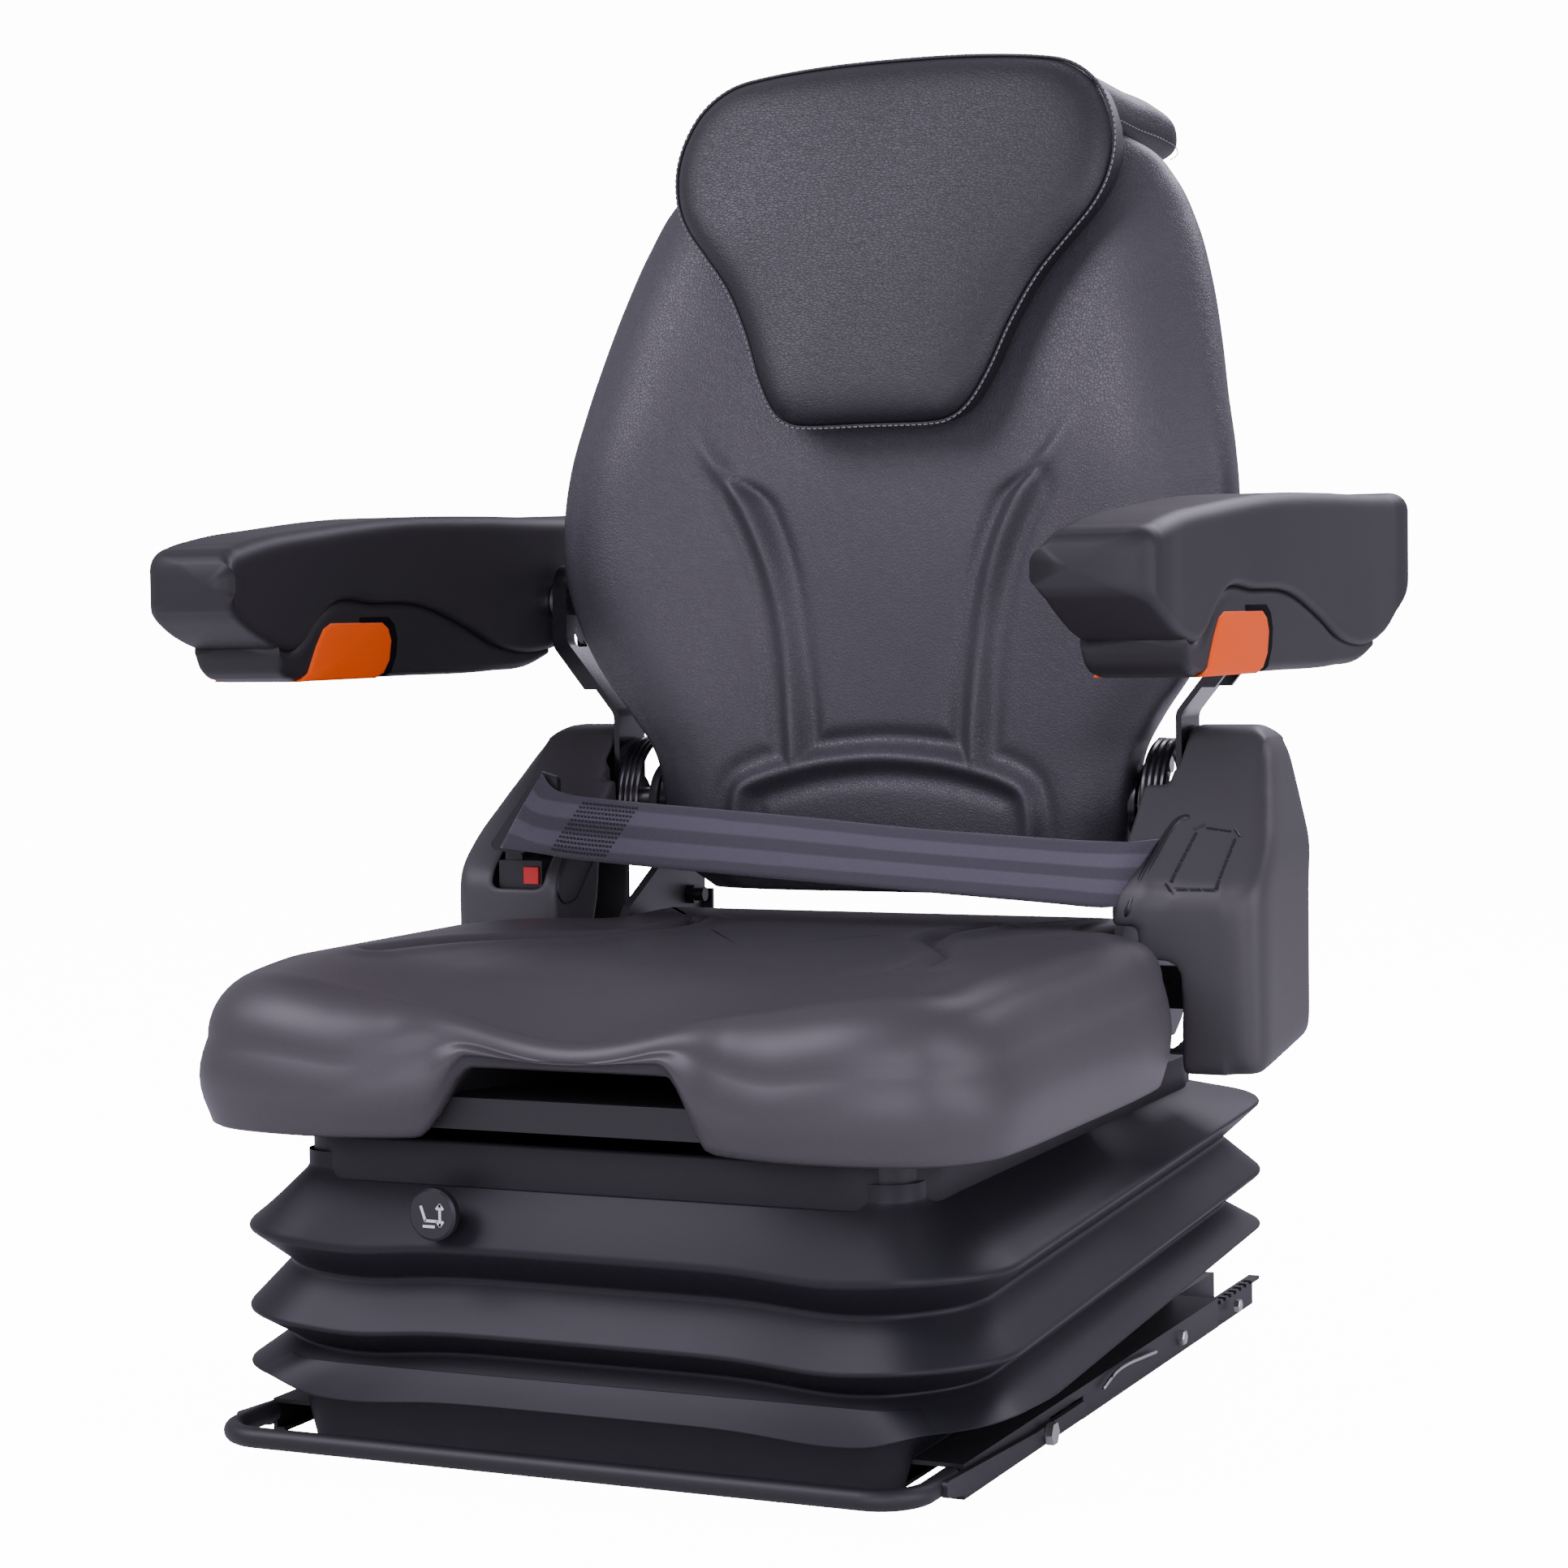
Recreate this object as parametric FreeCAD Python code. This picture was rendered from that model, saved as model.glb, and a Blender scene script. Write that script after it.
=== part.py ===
import FreeCAD, Part
import math
import os

# Suspension operator seat, millimetres. +X is the viewer's right when looking at the front,
# -Y is forward and +Z is up. The origin is the centre of the floor bolt pattern.

RUN_GAP = 0.3            # running clearance between moving pieces
SHEET = 3.0              # pressed steel sheet of trays and pans

RAIL_SPACING = 390.0     # between the centre lines of the two slide rails
BOLT_SPACING = 300.0     # floor bolts along each rail
BOLT_HOLE_R = 4.5
RAIL_SHEET = 2.5
LOWER_RAIL_WIDTH = 30.0
LOWER_RAIL_HEIGHT = 20.0
LOWER_RAIL_LIP = 5.0
LOWER_RAIL_FRONT = -168.5
LOWER_RAIL_REAR = 335.0
RACK_PITCH = 12.0
RACK_NOTCH = 6.5
UPPER_RAIL_FRONT = -243.0
UPPER_RAIL_REAR = 225.0
UPPER_RAIL_SIDE_GAP = 1.0
UPPER_RAIL_HEADROOM = 3.0
UPPER_RAIL_SKIRT = 6.0   # height of the upper rail's lower edge above the floor
GLIDE_LENGTH = 40.0

HANDLE_ROD_R = 6.0
HANDLE_FRONT = -310.0
HANDLE_HEIGHT = 20.0
HANDLE_CORNER_R = 26.0
LEVER_SHEET = 3.5
LEVER_PIVOT_Y = -120.0
LEVER_PIVOT_R = 4.0
LEVER_TAIL = 66.0        # lever length behind its pivot

TRAY_HALF_WIDTH = 186.0
TRAY_FRONT = -232.0
TRAY_REAR = 236.0
TRAY_RIM = 19.5
STACK_HEIGHT = 153.5     # clear height between the lower tray and the top frame
TOP_HALF_WIDTH = 190.0
TOP_FRONT = -250.0
TOP_REAR = 262.0
TOP_RIM = 23.0

ARM_REACH = 300.0        # pivot to roller along Y at rest
ARM_PIVOT_Y = ARM_REACH / 2.0
ARM_PIVOT_HEIGHT = 16.5  # above the tray floor
ARM_TOP_DROP = 15.0      # below the top frame's sheet
ARM_SHEET = 4.0
ARM_DEPTH = 26.0
ARM_INNER_X = 128.0
ARM_SIDE_GAP = 4.0
ARM_TUBE_R = 8.0
ARM_PIN_R = 6.0
ARM_PIN_PLAY = 1.2       # radial room at the middle pin
ROLLER_R = 12.0
ROLLER_WIDTH = 12.0
ROLLER_PLAY = 0.9
TRACK_SHEET = 3.0
TRACK_RUN = 62.0         # roller track length ahead of the rollers

AIR_SPRING_R = 62.0
AIR_SPRING_PLATE = 6.0
AIR_SPRING_ROOM = 12.0   # between the air spring and the arm frame's tie
DAMPER_X = 95.0
DAMPER_SETBACK = 60.0    # lower eye behind the rollers
DAMPER_LEAD = 38.0       # upper eye ahead of the arm pivots
DAMPER_LOWER_Y = ARM_PIVOT_Y - ARM_REACH + DAMPER_SETBACK
DAMPER_UPPER_Y = ARM_PIVOT_Y - DAMPER_LEAD
DAMPER_EYE_HEIGHT = 19.5
DAMPER_EYE_R = 11.0
DAMPER_TUBE_R = 15.0
DAMPER_WALL = 3.0
DAMPER_ROD_R = 5.0
DAMPER_ROD_PLAY = 2.6
DAMPER_PIN_R = 5.0
COMPRESSOR_R = 22.0
COMPRESSOR_LENGTH = 86.0
COMPRESSOR_X = -99.0

BELLOWS_WALL = 2.6
BELLOWS_CREST_X = 243.0
BELLOWS_VALLEY_INSET = 24.0
BELLOWS_CREST_FRONT = -272.0
BELLOWS_CREST_REAR = 300.0
BELLOWS_CORNER_R = 60.0
BELLOWS_PITCH = 43.0
BELLOWS_FIRST_CREST = 58.0
BELLOWS_RISE = 24.0      # the folds climb this much from front to rear

BUTTON_X = -86.0
BUTTON_DROP = 36.0       # below the top face of the top frame
BUTTON_R = 15.0
BUTTON_STEM_R = 4.0
BUTTON_TRAVEL = 3.0

PAN_LIFT = 12.0
PAN_HEIGHT = 18.0
PAN_HALF_WIDTH = 176.0
PAN_FRONT = -272.0
PAN_REAR = 195.0
RUNNER_X = 130.0
RUNNER_WIDTH = 32.0

CUSHION_HALF_WIDTH = 249.0
CUSHION_WAIST = 174.0    # half width between the recline plates
CUSHION_FRONT = -305.0
CUSHION_DIP_FRONT = -284.0
CUSHION_SHOULDER_Y = 66.0
CUSHION_REAR = 200.0
CUSHION_LIFT = 8.0
CUSHION_THICKNESS = 94.0
CUSHION_ROUND = 38.0     # soft edge along the front and the sides
CUSHION_NOSE_DROP = 16.0
CUSHION_SIDE_DROP = 6.0
NOTCH_HALF_WIDTH = 80.0
NOTCH_HEIGHT = 40.0

RECLINE_Y = 222.0
RECLINE_Z = 352.0
RECLINE_SHEET = 6.0
RECLINE_SHAFT_R = 10.0
RECLINE_EYE_R = 28.0
HINGE_ARM_SHEET = 4.5
SPRING_R = 44.0
SPRING_WIRE_R = 2.1
SPRING_TURNS = 4
STOP_Y = 244.0
STOP_Z = 285.0
STOP_R = 6.5

BACK_BOTTOM = 294.0
BACK_TOP = 806.0
BACK_GAP = 0.2           # between the backrest's pad and what is fitted to it
SHELL_DEPTH = 24.0
HEAD_PAD_RISE = 57.0     # above the backrest's top
HEAD_PAD_TOP = BACK_TOP + HEAD_PAD_RISE
HEAD_PAD_BOTTOM = 609.0
HEAD_PAD_THICKNESS = 20.0
HEAD_PAD_REAR = 358.0

COVER_INNER_X = 208.0
COVER_OUTER_X = 287.0
COVER_WALL = 3.0
COVER_BOTTOM = 190.0
COVER_TOP = 406.0
COVER_KNEE_Z = 306.0
COVER_FRONT = 97.0
COVER_REAR = 218.0
NOTCH_TOP = 262.0

BRACKET_SHEET = 4.0
BRACKET_WIDTH = 40.0
BRACKET_LANE_X = 203.0
BRACKET_KNEE_Z = 416.0
BRACKET_SHOULDER_Z = 466.0
BRACKET_TOP_Z = 520.0
BRACKET_TOP_X = 243.0
BRACKET_RIM = 11.0

ARMREST_PIVOT_Y = 212.0
ARMREST_PIVOT_Z = 494.0
ARMREST_PIVOT_R = 8.0
ARMREST_WIDTH = 74.0
ARMREST_NOSE = -214.0
ARMREST_REAR = 300.0
ARMREST_GAP = 6.0        # between the bracket and the armrest's inner side
SLIDER_TRAVEL = 6.0
GRIP_LENGTH = 108.0      # recline lever's grip ahead of its arm

BELT_WIDTH = 46.0
BELT_THICKNESS = 1.6
BELT_Y = 96.0
BELT_LEFT_Z = 354.0
BELT_RIGHT_Z = 316.0
BUCKLE_TOP = 318.0
BUCKLE_HEIGHT = 54.0
REEL_R = 30.0
REEL_Z = 300.0
BELT_MOUNT_Z = 226.0     # top of the bracket that carries reel and buckle

os.makedirs("parts", exist_ok=True)


def vec(x, y, z):
    return FreeCAD.Vector(x, y, z)


def save(name, shape):
    shape.exportStep("parts/" + name + ".step")


def block(x0, x1, y0, y1, z0, z1):
    return Part.makeBox(x1 - x0, y1 - y0, z1 - z0, vec(x0, y0, z0))


def pin_x(x0, x1, y, z, radius):
    return Part.makeCylinder(radius, x1 - x0, vec(x0, y, z), vec(1, 0, 0))


def pin_y(x, y0, y1, z, radius):
    return Part.makeCylinder(radius, y1 - y0, vec(x, y0, z), vec(0, 1, 0))


def pin_z(x, y, z0, z1, radius):
    return Part.makeCylinder(radius, z1 - z0, vec(x, y, z0), vec(0, 0, 1))


def hex_x(x0, x1, y, z, across):
    corner = across / math.sqrt(3.0)
    points = []
    for step in range(7):
        turn = math.radians(60.0 * step)
        points.append(vec(x0, y + corner * math.cos(turn), z + corner * math.sin(turn)))
    return Part.Face(Part.makePolygon(points)).extrude(vec(x1 - x0, 0, 0))


def hex_z(x, y, z0, z1, across):
    corner = across / math.sqrt(3.0)
    points = []
    for step in range(7):
        turn = math.radians(60.0 * step)
        points.append(vec(x + corner * math.cos(turn), y + corner * math.sin(turn), z0))
    return Part.Face(Part.makePolygon(points)).extrude(vec(0, 0, z1 - z0))


def rounded_wire(corners, place):
    # Closed outline of straight runs; each corner is (u, v, radius), and a radius is limited by its runs.
    edges = []
    ends = []
    count = len(corners)
    for index in range(count):
        before = FreeCAD.Vector(*place(corners[index - 1][0], corners[index - 1][1]))
        here = FreeCAD.Vector(*place(corners[index][0], corners[index][1]))
        following = corners[(index + 1) % count]
        after = FreeCAD.Vector(*place(following[0], following[1]))
        radius = corners[index][2]
        to_before = (before - here).normalize()
        to_after = (after - here).normalize()
        half_turn = to_before.getAngle(to_after) / 2.0
        if radius <= 0.0:
            ends.append((here, here))
            continue
        room = 0.48 * min((before - here).Length, (after - here).Length)
        setback = min(radius / math.tan(half_turn), room)
        radius = setback * math.tan(half_turn)
        start = here + to_before * setback
        finish = here + to_after * setback
        bisector = (to_before + to_after).normalize()
        middle = here + bisector * (radius / math.sin(half_turn) - radius)
        edges.append((index, Part.Arc(start, middle, finish).toShape()))
        ends.append((start, finish))
    arcs = dict(edges)
    outline = []
    for index in range(count):
        if index in arcs:
            outline.append(arcs[index])
        leave = ends[index][1]
        arrive = ends[(index + 1) % count][0]
        if (arrive - leave).Length > 1e-6:
            outline.append(Part.LineSegment(leave, arrive).toShape())
    return Part.Wire(Part.__sortEdges__(outline))


def plate_yz(corners, x0, x1):
    wire = rounded_wire(corners, lambda y, z: (x0, y, z))
    return Part.Face(wire).extrude(vec(x1 - x0, 0, 0))


def plate_xz(corners, y0, y1):
    wire = rounded_wire(corners, lambda x, z: (x, y0, z))
    return Part.Face(wire).extrude(vec(0, y1 - y0, 0))


def plate_xy(corners, z0, z1):
    wire = rounded_wire(corners, lambda x, y: (x, y, z0))
    return Part.Face(wire).extrude(vec(0, 0, z1 - z0))


def mirrored(shape):
    return shape.mirror(vec(0, 0, 0), vec(1, 0, 0))


def both_sides(shape):
    return Part.makeCompound([shape, mirrored(shape)])


def smooth_ring(points):
    curve = Part.BSplineCurve()
    curve.interpolate(Points=points, PeriodicFlag=True)
    return Part.Wire(curve.toShape())


def save_pair(name, left_shape):
    save(name + "_left", left_shape)
    save(name + "_right", mirrored(left_shape))


# Levels that the whole stack shares
rail_x = RAIL_SPACING / 2.0
rail_top = LOWER_RAIL_HEIGHT + UPPER_RAIL_HEADROOM + RAIL_SHEET
floor_top = rail_top + SHEET
frame_under = floor_top + STACK_HEIGHT
frame_top = frame_under + SHEET
pan_bottom = frame_top + PAN_LIFT
pan_top = pan_bottom + PAN_HEIGHT
cushion_bottom = frame_top + CUSHION_LIFT
cushion_top = cushion_bottom + CUSHION_THICKNESS

# Lower rail: an open channel with outward lips and a rack in the outer lip
lower_half = LOWER_RAIL_WIDTH / 2.0
upper_inner_half = lower_half + LOWER_RAIL_LIP + UPPER_RAIL_SIDE_GAP
upper_half = upper_inner_half + RAIL_SHEET
lip_under = LOWER_RAIL_HEIGHT - RAIL_SHEET
upper_lip_top = UPPER_RAIL_SKIRT + RAIL_SHEET


def lower_rail():
    y0 = LOWER_RAIL_FRONT
    y1 = LOWER_RAIL_REAR
    rail = block(-lower_half, lower_half, y0, y1, 0.0, LOWER_RAIL_HEIGHT)
    inside = lower_half - RAIL_SHEET
    rail = rail.cut(block(-inside, inside, y0, y1, RAIL_SHEET, LOWER_RAIL_HEIGHT))
    for side in (-1, 1):
        near = side * lower_half
        far = side * (lower_half + LOWER_RAIL_LIP)
        rail = rail.fuse(block(min(near, far), max(near, far), y0, y1, lip_under, LOWER_RAIL_HEIGHT))
    notches = []
    count = int((y1 - y0 - RACK_PITCH) / RACK_PITCH)
    for step in range(count):
        y = y0 + RACK_PITCH * (step + 0.75)
        far = lower_half + LOWER_RAIL_LIP
        notches.append(block(-far, -lower_half, y, y + RACK_NOTCH, lip_under, LOWER_RAIL_HEIGHT))
    rail = rail.cut(Part.makeCompound(notches))
    for y in (-BOLT_SPACING / 2.0, BOLT_SPACING / 2.0):
        rail = rail.cut(pin_z(0.0, y, 0.0, RAIL_SHEET, BOLT_HOLE_R))
    return rail.removeSplitter()


left_lower = lower_rail().translated(vec(-rail_x, 0, 0))
save_pair("rail_lower", left_lower)

# Upper rail: a channel turned over the lower one, its lips folded in below the rack
lever_pivot_z = (UPPER_RAIL_SKIRT + LOWER_RAIL_HEIGHT + UPPER_RAIL_HEADROOM) / 2.0


def upper_rail():
    y0 = UPPER_RAIL_FRONT
    y1 = UPPER_RAIL_REAR
    rail = block(-upper_half, upper_half, y0, y1, UPPER_RAIL_SKIRT, rail_top)
    inside = upper_inner_half
    rail = rail.cut(block(-inside, inside, y0, y1, upper_lip_top, rail_top - RAIL_SHEET))
    slot = lower_half + UPPER_RAIL_SIDE_GAP
    rail = rail.cut(block(-slot, slot, y0, y1, UPPER_RAIL_SKIRT, upper_lip_top))
    window = block(-upper_half, -slot, LEVER_PIVOT_Y + 14.0, LEVER_PIVOT_Y + LEVER_TAIL + 6.0,
                   UPPER_RAIL_SKIRT, lip_under + RAIL_SHEET)
    rail = rail.cut(window)
    rail = rail.cut(pin_x(-upper_half, -upper_inner_half, LEVER_PIVOT_Y, lever_pivot_z, LEVER_PIVOT_R))
    return rail.removeSplitter()


save_pair("rail_upper", upper_rail().translated(vec(-rail_x, 0, 0)))


def glide(y0):
    x0 = lower_half + RUN_GAP
    y1 = y0 + GLIDE_LENGTH
    piece = block(x0 - RUN_GAP - RAIL_SHEET, upper_inner_half, y0, y1, upper_lip_top, rail_top - RAIL_SHEET)
    lip = block(0.0, lower_half + LOWER_RAIL_LIP + RUN_GAP, y0, y1,
                lip_under - RUN_GAP, LOWER_RAIL_HEIGHT + RUN_GAP)
    wall = block(0.0, x0, y0, y1, 0.0, lip_under)
    return piece.cut(lip).cut(wall)


glides = []
for y0 in (LEVER_PIVOT_Y + LEVER_TAIL + 10.0, UPPER_RAIL_REAR - 20.0 - GLIDE_LENGTH):
    for centre in (-rail_x, rail_x):
        glides.append(glide(y0).translated(vec(centre, 0, 0)))
        glides.append(mirrored(glide(y0)).translated(vec(centre, 0, 0)))
save("rail_glides", Part.makeCompound(glides))

# Release handle: a bent rod across the front with a flat latch lever on each side
lever_inner_x = rail_x + upper_half + RUN_GAP
rod_x = lever_inner_x - HANDLE_ROD_R + 1.0
rod_end = UPPER_RAIL_FRONT - 8.0
lever_low = lever_pivot_z - 4.6
lever_high = lever_pivot_z + 4.6


def handle_rod():
    radius = HANDLE_CORNER_R
    z = HANDLE_HEIGHT
    bend = radius * (1.0 - math.sqrt(0.5))
    left_mid = vec(-rod_x + bend, HANDLE_FRONT + bend, z)
    right_mid = vec(rod_x - bend, HANDLE_FRONT + bend, z)
    path = Part.Wire([
        Part.LineSegment(vec(-rod_x, rod_end, z), vec(-rod_x, HANDLE_FRONT + radius, z)).toShape(),
        Part.Arc(vec(-rod_x, HANDLE_FRONT + radius, z), left_mid,
                 vec(-rod_x + radius, HANDLE_FRONT, z)).toShape(),
        Part.LineSegment(vec(-rod_x + radius, HANDLE_FRONT, z),
                         vec(rod_x - radius, HANDLE_FRONT, z)).toShape(),
        Part.Arc(vec(rod_x - radius, HANDLE_FRONT, z), right_mid,
                 vec(rod_x, HANDLE_FRONT + radius, z)).toShape(),
        Part.LineSegment(vec(rod_x, HANDLE_FRONT + radius, z), vec(rod_x, rod_end, z)).toShape()])
    ring = Part.Wire(Part.makeCircle(HANDLE_ROD_R, vec(-rod_x, rod_end, z), vec(0, 1, 0)))
    return path.makePipeShell([ring], True, False)


def latch_lever():
    # Right-hand lever: front strap beside the rod, pivot eye, and a comb under the rack
    x0 = lever_inner_x
    x1 = lever_inner_x + LEVER_SHEET
    tail = LEVER_PIVOT_Y + LEVER_TAIL
    strap = plate_yz([(rod_end - 26.0, HANDLE_HEIGHT - 4.5, 3.0), (rod_end + 6.0, lever_low, 8.0),
                      (tail, lever_low, 2.0), (tail, lever_high, 2.0),
                      (LEVER_PIVOT_Y - 20.0, lever_high, 8.0), (rod_end - 26.0, HANDLE_HEIGHT + 4.5, 3.0)],
                      x0, x1)
    comb_x0 = rail_x + lower_half + 2.2
    comb_y0 = LEVER_PIVOT_Y + 20.0
    comb = block(comb_x0, x0, comb_y0, tail - 2.0, lever_low, lever_low + 2.5)
    teeth = []
    count = int((tail - 4.0 - comb_y0) / RACK_PITCH)
    for step in range(count):
        y = comb_y0 + 1.0 + RACK_PITCH * step
        teeth.append(block(comb_x0, comb_x0 + 2.5, y, y + RACK_NOTCH - 1.0, lever_low,
                           lip_under - 2.0 * RUN_GAP))
    lever = strap.fuse([comb] + teeth)
    return lever.cut(pin_x(x0, x1, LEVER_PIVOT_Y, lever_pivot_z, LEVER_PIVOT_R + RUN_GAP))


handle = handle_rod().fuse([latch_lever(), mirrored(latch_lever())])
save("slide_handle", handle.removeSplitter())

bolt_head_x = lever_inner_x + LEVER_SHEET + RUN_GAP
pivot_bolt = pin_x(rail_x + upper_inner_half, bolt_head_x, LEVER_PIVOT_Y, lever_pivot_z, LEVER_PIVOT_R)
pivot_bolt = pivot_bolt.fuse(hex_x(bolt_head_x, bolt_head_x + 4.5, LEVER_PIVOT_Y, lever_pivot_z, 12.0))
save("handle_pivot_bolts", both_sides(pivot_bolt))

# Lower tray with the front roller tracks, rear pivot ears and the damper's lower ears
pivot_z = floor_top + ARM_PIVOT_HEIGHT
top_pivot_z = frame_under - ARM_TOP_DROP
front_y = ARM_PIVOT_Y - ARM_REACH
outer_arm_x = ARM_INNER_X + ARM_SHEET + ARM_SIDE_GAP
outer_arm_end = outer_arm_x + ARM_SHEET
track_front = front_y - TRACK_RUN + 16.0
track_rear = front_y + 34.0
damper_low_z = floor_top + DAMPER_EYE_HEIGHT
damper_high_z = frame_under - DAMPER_EYE_HEIGHT
ear_half = DAMPER_EYE_R - 2.0


def tray_shell(half_x, y0, y1, z0, z1, inner_z0, inner_z1):
    outer = block(-half_x, half_x, y0, y1, z0, z1)
    upright = [edge for edge in outer.Edges if abs(edge.Vertexes[0].Z - edge.Vertexes[-1].Z) > 1.0]
    outer = outer.makeFillet(18.0, upright)
    inner = block(-half_x + SHEET, half_x - SHEET, y0 + SHEET, y1 - SHEET, inner_z0, inner_z1)
    upright = [edge for edge in inner.Edges if abs(edge.Vertexes[0].Z - edge.Vertexes[-1].Z) > 1.0]
    inner = inner.makeFillet(18.0 - SHEET, upright)
    return outer.cut(inner)


def lower_tray():
    rim_top = rail_top + TRAY_RIM
    tray = tray_shell(TRAY_HALF_WIDTH, TRAY_FRONT, TRAY_REAR, rail_top, rim_top, floor_top, rim_top + 1.0)
    roller_x0 = outer_arm_end + 3.0
    roller_x1 = roller_x0 + ROLLER_WIDTH
    room = ROLLER_R + ROLLER_PLAY
    adds = []
    for side in (-1, 1):
        lo = pivot_z - room
        hi = pivot_z + room
        xs = sorted([side * roller_x0, side * (roller_x1 + 3.0)])
        walls = sorted([side * (roller_x1 + 3.0), side * (roller_x1 + 3.0 + TRACK_SHEET)])
        adds.append(block(xs[0], xs[1], track_front, track_rear, floor_top, lo))
        adds.append(block(xs[0], xs[1], track_front, track_rear, hi, hi + TRACK_SHEET))
        adds.append(block(walls[0], walls[1], track_front, track_rear, floor_top, hi + TRACK_SHEET))
        ears = sorted([side * (ARM_INNER_X - 9.0), side * (ARM_INNER_X - 4.0)])
        ear = plate_yz([(ARM_PIVOT_Y - 20.0, floor_top, 0.0), (ARM_PIVOT_Y + 20.0, floor_top, 0.0),
                        (ARM_PIVOT_Y + 14.0, pivot_z + 14.0, 12.0),
                        (ARM_PIVOT_Y - 14.0, pivot_z + 14.0, 12.0)],
                       ears[0], ears[1])
        adds.append(ear.cut(pin_x(ears[0], ears[1], ARM_PIVOT_Y, pivot_z, ARM_TUBE_R + RUN_GAP)))
    for side in (-1, 1):
        xs = sorted([DAMPER_X + side * (ear_half + RUN_GAP), DAMPER_X + side * (ear_half + RUN_GAP + 3.0)])
        ear = plate_yz([(DAMPER_LOWER_Y - 14.0, floor_top, 0.0), (DAMPER_LOWER_Y + 14.0, floor_top, 0.0),
                        (DAMPER_LOWER_Y + 9.0, damper_low_z + 9.0, 7.0),
                        (DAMPER_LOWER_Y - 9.0, damper_low_z + 9.0, 7.0)], xs[0], xs[1])
        adds.append(ear.cut(pin_x(xs[0], xs[1], DAMPER_LOWER_Y, damper_low_z, DAMPER_PIN_R)))
    return tray.fuse(adds).removeSplitter()


save("lower_tray", lower_tray())

tray_bolts = []
for x in (-rail_x + 19.0, rail_x - 19.0):
    for y in (TRAY_FRONT + 62.0, TRAY_REAR - 62.0):
        tray_bolts.append(hex_z(x, y, floor_top, floor_top + 5.0, 11.0))
save("tray_bolts", Part.makeCompound(tray_bolts))


# Top frame: an upturned tray with the upper roller tracks and pivot ears
def top_frame():
    low = frame_top - TOP_RIM
    tray = tray_shell(TOP_HALF_WIDTH, TOP_FRONT, TOP_REAR, low, frame_top, low - 1.0, frame_under)
    room = ROLLER_R + ROLLER_PLAY
    roller_x1 = ARM_INNER_X - 3.0
    roller_x0 = roller_x1 - ROLLER_WIDTH
    adds = []
    for side in (-1, 1):
        lo = top_pivot_z - room
        hi = top_pivot_z + room
        xs = sorted([side * (roller_x0 - 3.0), side * roller_x1])
        walls = sorted([side * (roller_x0 - 3.0), side * (roller_x0 - 3.0 - TRACK_SHEET)])
        adds.append(block(xs[0], xs[1], track_front, track_rear, hi, frame_under))
        adds.append(block(xs[0], xs[1], track_front, track_rear, lo - TRACK_SHEET, lo))
        adds.append(block(walls[0], walls[1], track_front, track_rear, lo - TRACK_SHEET, frame_under))
        ears = sorted([side * (outer_arm_end + 4.0), side * (outer_arm_end + 9.0)])
        ear = plate_yz([(ARM_PIVOT_Y - 20.0, frame_under, 0.0),
                        (ARM_PIVOT_Y - 14.0, top_pivot_z - 14.0, 12.0),
                        (ARM_PIVOT_Y + 14.0, top_pivot_z - 14.0, 12.0),
                        (ARM_PIVOT_Y + 20.0, frame_under, 0.0)],
                       ears[0], ears[1])
        adds.append(ear.cut(pin_x(ears[0], ears[1], ARM_PIVOT_Y, top_pivot_z, ARM_TUBE_R + RUN_GAP)))
    for side in (-1, 1):
        xs = sorted([DAMPER_X + side * (ear_half + RUN_GAP), DAMPER_X + side * (ear_half + RUN_GAP + 3.0)])
        ear = plate_yz([(DAMPER_UPPER_Y - 14.0, frame_under, 0.0),
                        (DAMPER_UPPER_Y - 9.0, damper_high_z - 9.0, 7.0),
                        (DAMPER_UPPER_Y + 9.0, damper_high_z - 9.0, 7.0),
                        (DAMPER_UPPER_Y + 14.0, frame_under, 0.0)], xs[0], xs[1])
        adds.append(ear.cut(pin_x(xs[0], xs[1], DAMPER_UPPER_Y, damper_high_z, DAMPER_PIN_R)))
    return tray.fuse(adds).removeSplitter()


save("top_frame", top_frame())

# Scissor arms: two welded frames that cross at the middle pins
arm_rise = top_pivot_z - pivot_z
arm_angle = math.degrees(math.atan2(arm_rise, ARM_REACH))
arm_length = math.hypot(arm_rise, ARM_REACH)
middle_y = ARM_PIVOT_Y - ARM_REACH / 2.0
middle_z = (pivot_z + top_pivot_z) / 2.0


def arm_blade(x0, x1, hole_r):
    # Drawn level from the pivot towards -Y, then turned into place by the caller
    half = ARM_DEPTH / 2.0
    blade = plate_yz([(half, -half, half - 0.5), (half, half, half - 0.5),
                      (-arm_length - half, half, half - 0.5), (-arm_length - half, -half, half - 0.5)], x0,
                      x1)
    return blade.cut(pin_x(x0, x1, -arm_length / 2.0, 0.0, hole_r))


def scissor_inner():
    parts = []
    for side in (-1, 1):
        xs = sorted([side * ARM_INNER_X, side * (ARM_INNER_X + ARM_SHEET)])
        parts.append(arm_blade(xs[0], xs[1], ARM_PIN_R))
        shaft = sorted([side * (ARM_INNER_X - 3.0 - ROLLER_WIDTH), side * ARM_INNER_X])
        parts.append(pin_x(shaft[0], shaft[1], -arm_length, 0.0, ARM_PIN_R))
    reach = ARM_INNER_X + ARM_SHEET
    parts.append(pin_x(-reach, reach, 0.0, 0.0, ARM_TUBE_R))
    tie_end = ARM_INNER_X
    tie_reach = (AIR_SPRING_R + ARM_TUBE_R + AIR_SPRING_ROOM) / math.cos(math.radians(arm_angle))
    parts.append(pin_x(-tie_end, tie_end, -arm_length / 2.0 - tie_reach, 0.0, ARM_TUBE_R))
    frame = parts[0].fuse(parts[1:])
    frame.rotate(vec(0, 0, 0), vec(1, 0, 0), -arm_angle)
    frame.translate(vec(0, ARM_PIVOT_Y, pivot_z))
    return frame


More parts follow.
